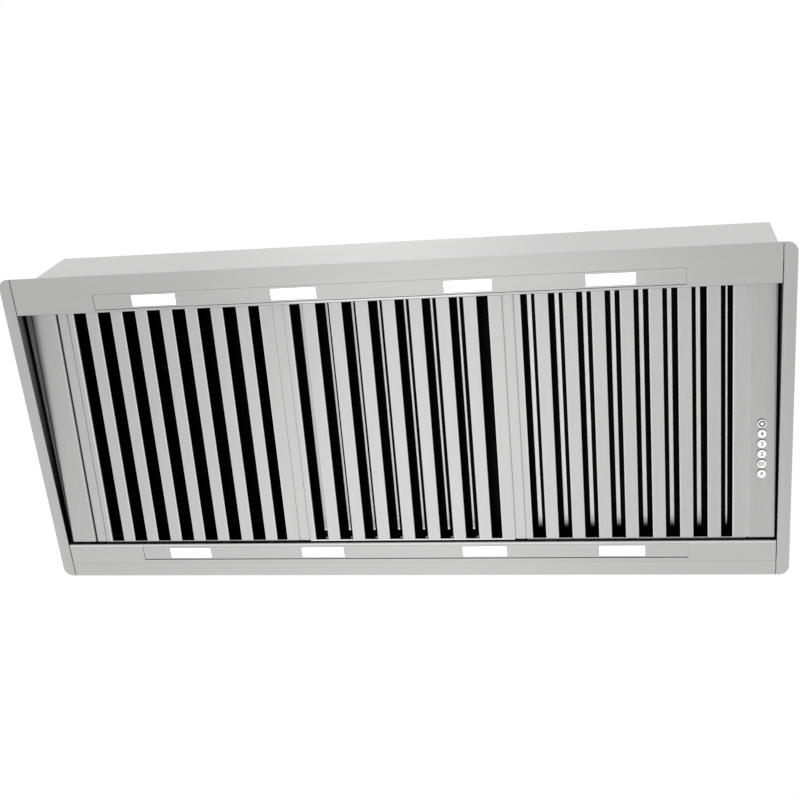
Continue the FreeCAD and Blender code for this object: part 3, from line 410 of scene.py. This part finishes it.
def baffle_steel(name, bay):
    """Upper baffles: painted shade inside, with a painted highlight on the ribs' lower faces in the centre and
    right filters.
    """
    look = Steel(name, BAFFLE_LEVEL, "y")
    depth = look.depth()
    unshaded = look.ramp(depth, BAFFLE_TOP)
    if bay != "left":
        shine = shine_centre if bay == "centre" else shine_right
        unshaded = look.either(unshaded, shine(look, rib_faces(look, depth), look.along(RIGHT), look.rear()))
    look.colour = look.mix(unshaded, grey(SHADE_TONE), look.colour)
    return look.finish()


FILLER_OUTWARDS = (0.2, 0.9)
FILLER_DEEP = (0.0016, 0.0026)
FILLER_CHEEK = (-0.56, -0.565)
FILLER_WALL_FACING = (0.5, 0.9)
FILLER_WALL_TONE = 0.09
FILLER_EDGE = (-0.5722, -0.5727)
FILLER_EDGE_FACING = (0.6, 0.4)


def filler_steel(name, level):
    """Filler panel: painted shade where its folded left edge and its cheek fall softly into the dark recess."""
    look = Steel(name, level, "y")
    side = look.along(RIGHT)
    inwards = look.facing(RIGHT)
    look.paint(look.ramp(look.facing(LEFT), FILLER_OUTWARDS), SHADE_TONE)
    deep = look.either(look.ramp(look.depth(), FILLER_DEEP), look.ramp(side, FILLER_CHEEK))
    wall = look.both(look.ramp(inwards, FILLER_WALL_FACING), deep)
    look.paint(wall, FILLER_WALL_TONE)
    look.dull(wall)
    look.paint(look.both(look.ramp(side, FILLER_EDGE), look.ramp(inwards, FILLER_EDGE_FACING)), SHADE_TONE)
    return look.finish()


CONTROL_GLOW = 0.08
CHEEK_FACING = (0.7, 0.95)
CHEEK_DEPTH = (0.009, 0.008)
CHEEK_SIDE = (0.538, 0.5375)
CHEEK_TONE = 0.08
CHEEK_GLOW = 0.84
CONTROL_EDGE_FACING = (0.6, 0.99)
CONTROL_EDGE_TONE = 0.006


def control_steel(name, level):
    """Control panel: painted shade where its right edge falls softly into the dark gap; its left seam is hardly
    seen under painted light on its bends and cheek.
    """
    look = Steel(name, level, "y")
    soften_bends(look, CONTROL_GLOW)
    outwards = look.ramp(look.facing(LEFT), CHEEK_FACING)
    shallow = look.ramp(look.depth(), CHEEK_DEPTH)
    cheek = look.both(outwards, shallow, look.ramp(look.along(RIGHT), CHEEK_SIDE))
    look.paint(cheek, CHEEK_TONE)
    look.dull(cheek)
    look.light(cheek, level * CHEEK_GLOW)
    look.paint(look.ramp(look.facing(RIGHT), CONTROL_EDGE_FACING), CONTROL_EDGE_TONE)
    return look.finish()


LIP_START = (0.0012, 0.0022)
LIP_LIT = (0.021, 0.013)
LIP_FRONT = (0.16, -0.2)
LEFT_LIP_TONE = 0.16
RIGHT_LIP_TONE = 0.006


def side_strip_steel(name, level, inwards, lip_tone):
    """Side strips: the lip inside the recess is dull and painted in shade, dark grey low at the front and darker
    further up and to the back.
    """
    look = Steel(name, level, "y")
    height = look.along(UP)
    lip = look.both(look.ramp(look.facing(inwards), FLAT), look.ramp(height, LIP_START))
    lit = look.both(look.ramp(height, LIP_LIT), look.ramp(look.along(BACK), LIP_FRONT))
    look.colour = look.mix(lip, look.colour, look.mix(lit, grey(SHADE_TONE), grey(lip_tone)))
    look.dull(lip)
    return look.finish()


END_FADE = 0.0012
END_DARK = 0.0007
END_TONE = 0.1


def dark_ends(look, node):
    """Paints shade on the ends of a strip, where it meets the side strips."""
    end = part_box(node)[1].x
    look.paint(look.ramp(look.distance(look.along(RIGHT)), (end - END_FADE, end - END_DARK)), END_TONE)


FRONT_MIDDLE = 0.004
FRONT_SPREAD = (0.16, 0.115)
FRONT_BEND_START = (-0.2098, -0.2095)
FRONT_BEND_END = (-0.2066, -0.2074)
FRONT_SHINE = 1.4


def front_strip_steel(name, level):
    """Front strip: its rear bend carries a painted highlight in front of the centre filter."""
    look = Steel(name, level, "x")
    back = look.along(BACK)
    bend = look.both(look.ramp(back, FRONT_BEND_START), look.ramp(back, FRONT_BEND_END))
    middle = look.ramp(look.distance(look.along(RIGHT), FRONT_MIDDLE), FRONT_SPREAD)
    look.paint(look.both(bend, middle), level * FRONT_SHINE)
    dark_ends(look, "flange_front")
    return look.finish()


BACK_BEND_START = (0.2056, 0.2062)
BACK_BEND_END = (0.2094, 0.2084)
FOLD_PLACE = 0.241
FOLD_WIDTH = (0.0009, 0.0003)
FOLD_SHARE = 0.3
FOLD_TONE = 0.2
BAR_SEAM = (0.0011, 0.0006)
BAR_SEAM_END = 0.0006
BAR_SEAM_TONE = 0.16


def back_strip_steel(name, level):
    """Back strip: a painted highlight at its bend, with a dark seam and a faint fold line behind the light bar,
    both painted shade.
    """
    look = Steel(name, level, "x")
    back = look.along(BACK)
    look.paint(look.both(look.ramp(back, BACK_BEND_START), look.ramp(back, BACK_BEND_END)), level * EDGE_HIGHLIGHT)
    fold = look.ramp(look.distance(back, FOLD_PLACE), FOLD_WIDTH)
    look.paint(look.both(fold, FOLD_SHARE), FOLD_TONE)
    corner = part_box("light_bar_back")[1]
    seam = look.ramp(look.distance(back, corner.y), BAR_SEAM)
    beside = look.ramp(look.distance(look.along(RIGHT)), (corner.x + BAR_SEAM_END, corner.x))
    look.paint(look.both(seam, beside), BAR_SEAM_TONE)
    dark_ends(look, "flange_back")
    return look.finish()


# Other materials

CAP_CELLS = (700, 700, 700)
CAP_FACE = (0.35, 0.6)
CAP_FLANK = 0.012
CAP_GLOW = 0.18


def button_look(name):
    """White caps with a faint painted glow on their faces, and a dark flank that shows as a crescent."""
    look = Look(name)
    spots = look.noise(CAP_CELLS)
    white = look.mix(spots, grey(0.9), grey(0.96))
    face = look.ramp(look.facing(-SLOPE_UP), CAP_FACE)
    look.set(
        Base_Color=look.mix(face, grey(CAP_FLANK), white),
        Roughness=look.ramp(spots, UNIT, start=0.28, end=0.4),
        Emission_Color=look.mix(face, grey(0.0), white),
        Emission_Strength=CAP_GLOW,
    )
    look.bump(spots, distance=0.00002, strength=0.3)
    return look.material


GLOSS_SPREAD = 0.06


def plain(name, colour, rough, cells=160, metallic=0.0, spread=0.12):
    """A moulded or painted surface: mottled colour, uneven gloss and a fine texture."""
    look = Look(name)
    spots = look.noise((cells, cells, cells), detail=5.0)
    low = tuple(c * (1 - spread) for c in colour[:3]) + (1.0,)
    high = tuple(min(1.0, c * (1 + spread)) for c in colour[:3]) + (1.0,)
    look.set(
        Base_Color=look.mix(look.ramp(spots, NOISE_CORE), low, high),
        Roughness=look.ramp(spots, NOISE_SPAN, rough - GLOSS_SPREAD, rough + GLOSS_SPREAD),
        Metallic=metallic,
    )
    look.bump(spots, distance=0.00003, strength=0.4)
    return look.material


PLATING_CELLS = (300, 300, 300)
PLATING_WARMTH = 0.01
SHANK_OUTER = (0.5826, 0.5822)
SHANK_INNER = (0.57, 0.575)


def screw_look(name):
    """Plated screws, painted in shade where the shank's tip stands inside the recess."""
    look = Look(name)
    spots = look.noise(PLATING_CELLS, detail=4.0)
    bright = look.mix(spots, grey(0.52, PLATING_WARMTH), grey(0.64, PLATING_WARMTH))
    across = look.distance(look.along(RIGHT))
    shank = look.both(look.ramp(across, SHANK_OUTER), look.ramp(across, SHANK_INNER))
    look.set(
        Base_Color=look.mix(shank, bright, grey(SHADE_TONE)),
        Roughness=look.ramp(spots, UNIT, start=0.24, end=0.36),
        Metallic=1.0,
    )
    look.bump(spots, distance=0.00002, strength=0.3)
    return look.material


ZINC_CELLS = (90, 90, 90)
ZINC_WARMTH = -0.02


def galvanised(name):
    """Zinc coating with its broken crystal pattern."""
    look = Look(name)
    cells = look.tree.nodes.new("ShaderNodeTexVoronoi")
    cells.inputs["Scale"].default_value = 1.0
    look.put(cells.inputs["Vector"], look.mapped(ZINC_CELLS))
    tone = look.tree.nodes.new("ShaderNodeSeparateColor")
    look.put(tone.inputs[0], cells.outputs["Color"])
    look.set(
        Base_Color=look.mix(tone.outputs[0], grey(0.42, ZINC_WARMTH), grey(0.56, ZINC_WARMTH)),
        Roughness=look.ramp(tone.outputs[1], UNIT, start=0.34, end=0.5, smooth=False),
        Metallic=0.85,
    )
    return look.material


LENS_CELLS = (400, 400, 400)


def lamp_lens(name):
    """Opal lenses, lit evenly with a faint moulded texture."""
    look = Look(name)
    spots = look.noise(LENS_CELLS)
    white = look.mix(spots, grey(0.95), grey(1.0))
    look.set(
        Base_Color=white,
        Roughness=look.ramp(spots, UNIT, start=0.35, end=0.5),
        Emission_Color=white,
        Emission_Strength=1.0,
    )
    return look.material


# Materials of the CAD nodes

# The parts are all one steel; the small differences between the parts' levels are painted light and shade.
STEEL = 0.51
SLAT_LEVEL = STEEL * 1.06
FRAME_LEVEL = STEEL * 1.04


def slat_start(bay):
    """Gives where a filter's first slat begins."""
    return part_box(f"filter_{bay}_slats")[0].x


front_strip = front_strip_steel("front_strip", STEEL)
back_strip = back_strip_steel("back_strip", level=STEEL * 1.02)
wall_x = sheet_steel("housing_long", level=STEEL * 1.13, grain="x")
wall_y = sheet_steel("housing_side", level=STEEL * 1.05, grain="y")
left_strip = side_strip_steel("left_strip", STEEL, RIGHT, LEFT_LIP_TONE)
right_strip = side_strip_steel("right_strip", STEEL, LEFT, RIGHT_LIP_TONE)
slats = {bay: slat_steel(f"{bay}_slat", SLAT_LEVEL, slat_start(bay)) for bay in BAYS}
frames = {bay: frame_steel(f"{bay}_frame", FRAME_LEVEL, bay) for bay in BAYS}
rails = rail_steel("filter_rail", FRAME_LEVEL)
baffles = {bay: baffle_steel(f"{bay}_baffle", bay) for bay in BAYS}
filler = filler_steel("filler_steel", STEEL)
control = control_steel("control_steel", STEEL)
# Painted shade: the beams, light trays and motor bracket inside the hood are near black, so that the gaps into it
# look dark.
shade_black_steel = plain("shade_black", grey(0.006), rough=0.7, spread=0.3)
zinc = galvanised("zinc_coating")
lens = lamp_lens("opal_lens")
board = plain("board_green", (0.03, 0.14, 0.05, 1), rough=0.45)
caps = button_look("button_caps")
black_plastic = plain("black_plastic", grey(0.02), rough=0.5, spread=0.2)
grey_plastic = plain("grey_plastic", grey(0.32, warmth=-0.01), rough=0.55, spread=0.08)
motor_paint = plain("motor_enamel", grey(0.05), rough=0.4, spread=0.2)
can_metal = plain("capacitor_can", grey(0.6), rough=0.3, metallic=1.0, spread=0.06)
magnet = plain("magnet_coating", grey(0.02), rough=0.35, spread=0.2)
plated = screw_look("zinc_plated")
legend_ink = plain("legend_ink", grey(0.025), rough=0.55, cells=900, spread=0.25)

LOOKS = {
    front_strip: ["flange_front", "light_bar_front"],
    back_strip: ["flange_back", "light_bar_back"],
    left_strip: ["flange_left"],
    right_strip: ["flange_right"],
    wall_x: ["housing_front", "housing_back", "housing_top"],
    wall_y: ["housing_left", "housing_right"],
    filler: ["filler_panel"],
    control: ["control_panel"],
    rails: ["filter_rails"],
    **{slats[bay]: [f"filter_{bay}_slats"] for bay in BAYS},
    **{frames[bay]: [f"filter_{bay}_frame"] for bay in BAYS},
    **{baffles[bay]: [f"filter_{bay}_baffles"] for bay in BAYS},
    shade_black_steel: ["front_beam", "rear_beam", "light_tray_front", "light_tray_back", "motor_bracket"],
    zinc: ["blower_scroll", "blower_side_left", "blower_side_right", "inlet_rings", "duct_spigot",
           "flap_front", "flap_back"],
    lens: ["light_lenses_front", "light_lenses_back"],
    board: ["switch_board", "light_board_front", "light_board_back"],
    caps: [f"button_{use}" for use in BUTTONS],
    black_plastic: ["switches", "terminal_block", "cable_gland", "impeller"],
    grey_plastic: ["control_box", "control_box_lid", "light_driver"],
    motor_paint: ["motor"],
    can_metal: ["motor_capacitor"],
    magnet: ["catch_magnets"],
    plated: ["motor_shaft", "side_screws", "spigot_screws", "filter_pivots"],
}
for material, names in LOOKS.items():
    for name in names:
        nodes[name].data.materials.clear()
        nodes[name].data.materials.append(material)


# Legends of the buttons. A bar is given by its two ends and its width, a ring by its radius and its width.

BUTTON_PITCH = 0.01604
BUTTON_REAR = 0.1101
BUTTON_PROUD = 0.003
LEGEND_DEPTH = 0.00004
LEGEND_BOLD = 0.00012
DIGIT_SIZE = 0.0082
POWER_SIZE = 0.0086
RING_STEPS = 40
LIGHT_RING = (0.0038, 0.002)
TIMER_DOT = (0.00075, 0.0014)
TIMER_DOT_RISE = 0.0015
TIMER_BARS = ((-0.001, -0.0003, -0.0028, -0.0027, 0.0009), (0.0014, 0.0, 0.0023, -0.0026, 0.0008))


def glyph(text, size):
    """Gives the mesh of a short text, centred and slightly thick."""
    curve = bpy.data.curves.new("glyph", "FONT")
    curve.body = text
    curve.size = size
    curve.align_x = "CENTER"
    curve.align_y = "CENTER"
    curve.extrude = LEGEND_DEPTH
    curve.offset = LEGEND_BOLD
    holder = bpy.data.objects.new("glyph", curve)
    scene.collection.objects.link(holder)
    bpy.context.view_layer.update()
    mesh = bpy.data.meshes.new_from_object(holder.evaluated_get(bpy.context.evaluated_depsgraph_get()))
    bpy.data.objects.remove(holder)
    return mesh


def circle_points(radius, count):
    """Gives points round a circle."""
    angles = [math.tau * i / count for i in range(count)]
    return [(radius * math.cos(angle), radius * math.sin(angle)) for angle in angles]


def bar_band(x0, y0, x1, y1, width):
    """Gives a straight, open band between two points."""
    way = Vector((x1 - x0, y1 - y0)).normalized()
    side = Vector((-way.y, way.x)) * width / 2
    outer = [(x0 + side.x, y0 + side.y), (x1 + side.x, y1 + side.y)]
    inner = [(x0 - side.x, y0 - side.y), (x1 - side.x, y1 - side.y)]
    return outer, inner, False


def ring_band(radius, width, rise=0.0):
    """Gives a closed, round band, raised by a distance."""
    rows = [circle_points(reach, RING_STEPS) for reach in (radius + width / 2, radius - width / 2)]
    outer, inner = [[(x, y + rise) for x, y in row] for row in rows]
    return outer, inner, True


def outline_mesh(bands):
    """Gives a thin solid from flat bands, each between an outer and an inner row of points."""
    solid = bmesh.new()
    for outer, inner, closed in bands:
        sections = []
        for (x, y), (u, v) in zip(outer, inner):
            top = [(x, y, LEGEND_DEPTH), (u, v, LEGEND_DEPTH)]
            bottom = [(u, v, -LEGEND_DEPTH), (x, y, -LEGEND_DEPTH)]
            sections.append([solid.verts.new(corner) for corner in top + bottom])
        for near, far in zip(sections, sections[1:] + sections[:1] if closed else sections[1:]):
            for i in range(len(near)):
                solid.faces.new((near[i], near[i - 1], far[i - 1], far[i]))
        if not closed:
            solid.faces.new(sections[0])
            solid.faces.new(sections[-1])
    bmesh.ops.recalc_face_normals(solid, faces=solid.faces)
    mesh = bpy.data.meshes.new("legend")
    solid.to_mesh(mesh)
    solid.free()
    return mesh


def timer_sign():
    """Gives the mesh of the timer's sign, a dot above two slanting bars."""
    return outline_mesh([ring_band(*TIMER_DOT, TIMER_DOT_RISE)] + [bar_band(*bar) for bar in TIMER_BARS])


LEGENDS = {
    "timer": timer_sign,
    "power": lambda: glyph("01", POWER_SIZE),
    "speed_2": lambda: glyph("2", DIGIT_SIZE),
    "speed_3": lambda: glyph("3", DIGIT_SIZE),
    "speed_4": lambda: glyph("4", DIGIT_SIZE),
    "light": lambda: outline_mesh([ring_band(*LIGHT_RING)]),
}


def slope_place(x, along, up):
    """Gives the place of a piece that lies in the sloping plane and faces down, its top to the front."""
    turn = Matrix((Vector(RIGHT), -SLOPE_BACK, -SLOPE_UP)).transposed().to_4x4()
    spot = SLOPE_START + SLOPE_BACK * along + SLOPE_UP * up
    return Matrix.Translation(Vector((x, spot.y, spot.z))) @ turn


for index, use in enumerate(BUTTONS):
    low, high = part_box(f"button_{use}")
    mesh = LEGENDS[use]()
    mesh.materials.clear()
    mesh.materials.append(legend_ink)
    legend = bpy.data.objects.new(f"legend_{use}", mesh)
    scene.collection.objects.link(legend)
    rear = BUTTON_REAR + index * BUTTON_PITCH
    legend.matrix_world = slope_place((low.x + high.x) / 2, -rear, -BUTTON_PROUD)
    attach(legend, f"button_{use}")


# Screws and cable gland, which the solids hold as plain rods

SHARP_ANGLE = math.radians(35)
WELD = 1e-7


def turned(rows, steps, hollow=False):
    """Gives a solid turned about the upright axis from rows of a radius, or a rule for it, and a height."""
    solid = bmesh.new()
    rings = []
    for radius, height in rows:
        ring = []
        for i in range(steps):
            angle = math.tau * i / steps
            reach = radius(angle) if callable(radius) else radius
            ring.append(solid.verts.new((reach * math.cos(angle), reach * math.sin(angle), height)))
        rings.append(ring)
    following = rings[1:] + rings[:1] if hollow else rings[1:]
    for upper, lower in zip(rings, following):
        for i in range(steps):
            k = (i + 1) % steps
            solid.faces.new((upper[k], upper[i], lower[i], lower[k]))
    bmesh.ops.remove_doubles(solid, verts=solid.verts, dist=WELD)
    bmesh.ops.recalc_face_normals(solid, faces=solid.faces)
    return solid


def make_piece(name, body, mesh, places, material):
    """Joins copies of a mesh at several places into one piece that rides on a body."""
    whole = bmesh.new()
    for place in places:
        start = len(whole.verts)
        whole.from_mesh(mesh)
        whole.verts.ensure_lookup_table()
        bmesh.ops.transform(whole, matrix=place, verts=whole.verts[start:])
    joined = bpy.data.meshes.new(name)
    whole.to_mesh(joined)
    whole.free()
    joined.shade_smooth()
    joined.set_sharp_from_angle(angle=SHARP_ANGLE)
    joined.materials.clear()
    joined.materials.append(material)
    detail = bpy.data.objects.new(name, joined)
    scene.collection.objects.link(detail)
    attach(detail, body)
    return detail


RECESS_REACH = 0.0025
RECESS_HALF_WIDTH = 0.0006
RECESS_DEPTH = 0.0015
RECESS_TAPER = 0.5


def cross_prism(low, high):
    """Gives the tapered cross that is cut into a screw's head."""
    far, near = RECESS_REACH, RECESS_HALF_WIDTH
    outline = [(far, -near), (far, near), (near, near), (near, far), (-near, far), (-near, near),
               (-far, near), (-far, -near), (-near, -near), (-near, -far), (near, -far), (near, -near)]
    solid = bmesh.new()
    bottom = [solid.verts.new((x * RECESS_TAPER, y * RECESS_TAPER, low)) for x, y in outline]
    top = [solid.verts.new((x, y, high)) for x, y in outline]
    for i in range(len(outline)):
        k = (i + 1) % len(outline)
        solid.faces.new((bottom[i], bottom[k], top[k], top[i]))
    solid.faces.new(bottom)
    solid.faces.new(top)
    bmesh.ops.recalc_face_normals(solid, faces=solid.faces)
    return solid


def holder_of(solid):
    """Puts a solid into the scene for a moment, so that a modifier can use it."""
    mesh = bpy.data.meshes.new("carving")
    solid.to_mesh(mesh)
    solid.free()
    holder = bpy.data.objects.new("carving", mesh)
    scene.collection.objects.link(holder)
    return holder


def carved(base, cutter):
    """Gives the mesh of one solid with another one cut out of it."""
    body, tool = holder_of(base), holder_of(cutter)
    cut = body.modifiers.new("cut", "BOOLEAN")
    cut.object = tool
    cut.operation = "DIFFERENCE"
    cut.solver = "EXACT"
    bpy.context.view_layer.update()
    mesh = bpy.data.meshes.new_from_object(body.evaluated_get(bpy.context.evaluated_depsgraph_get()))
    bpy.data.objects.remove(body)
    bpy.data.objects.remove(tool)
    return mesh


# The head's profile gives shares of its radius and of its height.
SCREW_SHANK = 0.0019
SCREW_STEPS = 48
HEAD_PROFILE = ((0, 1), (0.35, 0.99), (0.6, 0.93), (0.8, 0.81), (0.94, 0.58), (1, 0.3), (1, 0))


def screw_mesh(head, height, length):
    """Gives a pan-head screw with a cross recess, standing on zero."""
    rows = [(head * across, height * up) for across, up in HEAD_PROFILE]
    tip = SCREW_SHANK / 2
    rows += [(SCREW_SHANK, 0), (SCREW_SHANK, tip - length), (tip, -length), (0, -length)]
    return carved(turned(rows, SCREW_STEPS), cross_prism(height - RECESS_DEPTH, 2 * height))


def make_screws():
    """Makes the screws of the housing's sides and of the spigot."""
    low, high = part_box("side_screws")
    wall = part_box("housing_right")[1].x
    radius = (high.z - low.z) / 2
    height = high.x - wall
    spread = high.y - radius
    foot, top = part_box("spigot_screws")
    seat = top.z - height
    reach = top.x - radius
    mesh = screw_mesh(radius, height, seat - foot.z)
    places = []
    for side in (-1, 1):
        turn = Matrix.Rotation(side * math.pi / 2, 4, "Y")
        for y in (-spread, 0, spread):
            places.append(Matrix.Translation((side * wall, y, (low.z + high.z) / 2)) @ turn)
    heads = make_piece("side_screw_heads", "hood", mesh, places, plated)
    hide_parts("side_screws")
    places = [Matrix.Translation((x, y, seat)) for x in (-reach, reach) for y in (-reach, reach)]
    heads = make_piece("spigot_screw_heads", "hood", mesh, places, plated)
    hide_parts("spigot_screws")


# The dome's profile gives shares of the nut's radius and of the height above the housing. The tip is a share
# of that radius, the mouth one of the bore, and the ribs' top and the throat are shares of that height.
GLAND_BARREL = 0.01
GLAND_BORE = 0.0045
GLAND_COLLAR = 0.0042
GLAND_NUT = 0.0114
GLAND_RIB = 0.0005
GLAND_RIBS = 16
GLAND_RIB_TOP = 0.74
GLAND_DOME = ((0.92, 0.86), (0.72, 0.96))
GLAND_TIP = 0.56
GLAND_MOUTH = 1.1
GLAND_THROAT = 0.9
GLAND_STEPS = 96


def make_gland():
    """Makes the cable gland with a hexagon collar and a ribbed, domed nut."""
    low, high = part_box("cable_gland")
    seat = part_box("housing_top")[1].z
    flat = (high.x - low.x) / 2 * math.cos(math.pi / 6)
    tall = high.z - seat

    def hexagon(angle):
        return flat / math.cos(angle % (math.pi / 3) - math.pi / 6)

    def ribbed(angle):
        return GLAND_NUT + GLAND_RIB * math.cos(GLAND_RIBS * angle)

    rows = [(GLAND_BARREL, low.z), (GLAND_BARREL, seat), (hexagon, seat), (hexagon, seat + GLAND_COLLAR)]
    rows += [(ribbed, seat + GLAND_COLLAR), (ribbed, seat + GLAND_RIB_TOP * tall)]
    rows += [(across * GLAND_NUT, seat + up * tall) for across, up in GLAND_DOME]
    rows += [(GLAND_TIP * GLAND_NUT, high.z), (GLAND_MOUTH * GLAND_BORE, high.z)]
    rows += [(GLAND_BORE, seat + GLAND_THROAT * tall), (GLAND_BORE, low.z)]
    mesh = bpy.data.meshes.new("gland")
    solid = turned(rows, GLAND_STEPS, hollow=True)
    solid.to_mesh(mesh)
    solid.free()
    place = Matrix.Translation(((low.x + high.x) / 2, (low.y + high.y) / 2, 0))
    nut = make_piece("gland_nut", "hood", mesh, [place], black_plastic)
    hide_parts("cable_gland")


make_screws()
make_gland()


# Rolled hems along the filters' rear edges

HEM_RADIUS = 0.0012
HEM_SINK = 0.0002
HEM_SIDES = 16
REAR_GAP = 0.005
# The hems' levels are painted light and shade: a painted highlight on the centre filter's hem, painted shade on
# the others.
HEM_LEVELS = {"left": 0.05, "centre": 0.95, "right": 0.16}


def make_hem(bay):
    """Makes the round hem that a filter's rear wall is rolled into."""
    low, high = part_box(f"filter_{bay}_frame")
    middle = SLOPE_START + SLOPE_BACK * (HEM_RADIUS - HEM_SINK - REAR_GAP) + SLOPE_UP * HEM_RADIUS
    solid = bmesh.new()
    ends = []
    for x in (low.x + HEM_RADIUS, high.x - HEM_RADIUS):
        ring = []
        for i in range(HEM_SIDES):
            angle = math.tau * i / HEM_SIDES
            spot = middle + HEM_RADIUS * (math.cos(angle) * SLOPE_BACK + math.sin(angle) * SLOPE_UP)
            ring.append(solid.verts.new((x, spot.y, spot.z)))
        ends.append(ring)
        solid.faces.new(ring)
    for i in range(HEM_SIDES):
        solid.faces.new((ends[0][i - 1], ends[0][i], ends[1][i], ends[1][i - 1]))
    bmesh.ops.recalc_face_normals(solid, faces=solid.faces)
    mesh = bpy.data.meshes.new("hem")
    solid.to_mesh(mesh)
    solid.free()
    material = sheet_steel(f"{bay}_hem", HEM_LEVELS[bay], "x", rough=0.3)
    make_piece(f"hem_{bay}", f"filter_{bay}", mesh, [Matrix.Identity(4)], material)


for bay in BAYS:
    make_hem(bay)


# Stage, light and camera

FLOOR_LEVEL = -2.6
FLOOR_RADIUS = 60.0
FLOOR_SIDES = 128
FLOOR_CELLS = (0.8, 0.8, 0.8)


def make_floor():
    """Makes the plain pale floor far below the hood."""
    mesh = bpy.data.meshes.new("floor")
    rim = circle_points(FLOOR_RADIUS, FLOOR_SIDES)
    mesh.from_pydata([(x, y, FLOOR_LEVEL) for x, y in rim], [], [tuple(range(len(rim)))])
    floor = bpy.data.objects.new("floor", mesh)
    scene.collection.objects.link(floor)
    look = Look("floor_paint")
    spots = look.noise(FLOOR_CELLS, detail=2.0)
    look.set(Base_Color=look.mix(spots, grey(0.86), grey(0.9)), Roughness=0.8)
    mesh.materials.append(look.material)


WORLD_LIGHT = 0.95
WORLD_SEEN = 1.0


def make_world():
    """Makes an even white world, full white where it is seen directly or in a reflection."""
    world = bpy.data.worlds.new("studio")
    scene.world = world
    world.use_nodes = True
    tree = world.node_tree
    background = tree.nodes["Background"]
    background.inputs["Color"].default_value = (1, 1, 1, 1)
    rays = tree.nodes.new("ShaderNodeLightPath")
    seen = rays.outputs["Is Camera Ray"]
    for name in ("Is Glossy Ray", "Is Transmission Ray"):
        add = tree.nodes.new("ShaderNodeMath")
        add.operation = "MAXIMUM"
        tree.links.new(seen, add.inputs[0])
        tree.links.new(rays.outputs[name], add.inputs[1])
        seen = add.outputs[0]
    level = tree.nodes.new("ShaderNodeMapRange")
    level.inputs["To Min"].default_value = WORLD_LIGHT
    level.inputs["To Max"].default_value = WORLD_SEEN
    tree.links.new(seen, level.inputs["Value"])
    tree.links.new(level.outputs["Result"], background.inputs["Strength"])


def area_light(name, place, target, size, power):
    """Makes a soft light that the camera doesn't see."""
    light = bpy.data.lights.new(name, "AREA")
    light.shape = "RECTANGLE"
    light.size, light.size_y = size
    light.energy = power
    holder = bpy.data.objects.new(name, light)
    scene.collection.objects.link(holder)
    holder.location = place
    holder.rotation_mode = "QUATERNION"
    holder.rotation_quaternion = (Vector(target) - Vector(place)).to_track_quat("-Z", "Y")
    holder.visible_camera = False


# The camera that the photograph's own edges give
CAMERA_LENS = 55.43
CAMERA_SENSOR = 36.0
CAMERA_SHIFT = 0.025
CAMERA_REACH = 150.0
CAMERA_PLACE = (0.365959, -0.749489, -1.722639)
CAMERA_RIGHT = Vector((0.98257497, 0.09562436, 0.15938134))
CAMERA_DOWN = Vector((-0.02467936, 0.91703276, -0.39804753))
CAMERA_FORWARD = Vector((-0.18422095, 0.38717811, 0.90341339))


def make_camera():
    """Makes the camera and sets it as the scene's."""
    camera = bpy.data.cameras.new("camera")
    camera.sensor_width = CAMERA_SENSOR
    camera.lens = CAMERA_LENS
    camera.shift_y = CAMERA_SHIFT
    camera.clip_end = CAMERA_REACH
    holder = bpy.data.objects.new("camera", camera)
    scene.collection.objects.link(holder)
    turn = Matrix((CAMERA_RIGHT, -CAMERA_DOWN, -CAMERA_FORWARD)).transposed().to_4x4()
    holder.matrix_world = Matrix.Translation(CAMERA_PLACE) @ turn
    scene.camera = holder


make_floor()
make_world()
area_light("key", place=(-0.24, 0.5, -1.9), target=(0, 0, 0), size=(1.0, 1.3), power=2.5)
area_light("fill", place=(-0.2, 1.6, -1.9), target=(0, 0.2, 0), size=(3.8, 1.2), power=3.2)
area_light("front_fill", place=(-0.44, -0.85, 2.3), target=(0, -0.2, 0.1), size=(0.8, 0.8), power=0.6)
make_camera()
scene.view_settings.view_transform = "Standard"
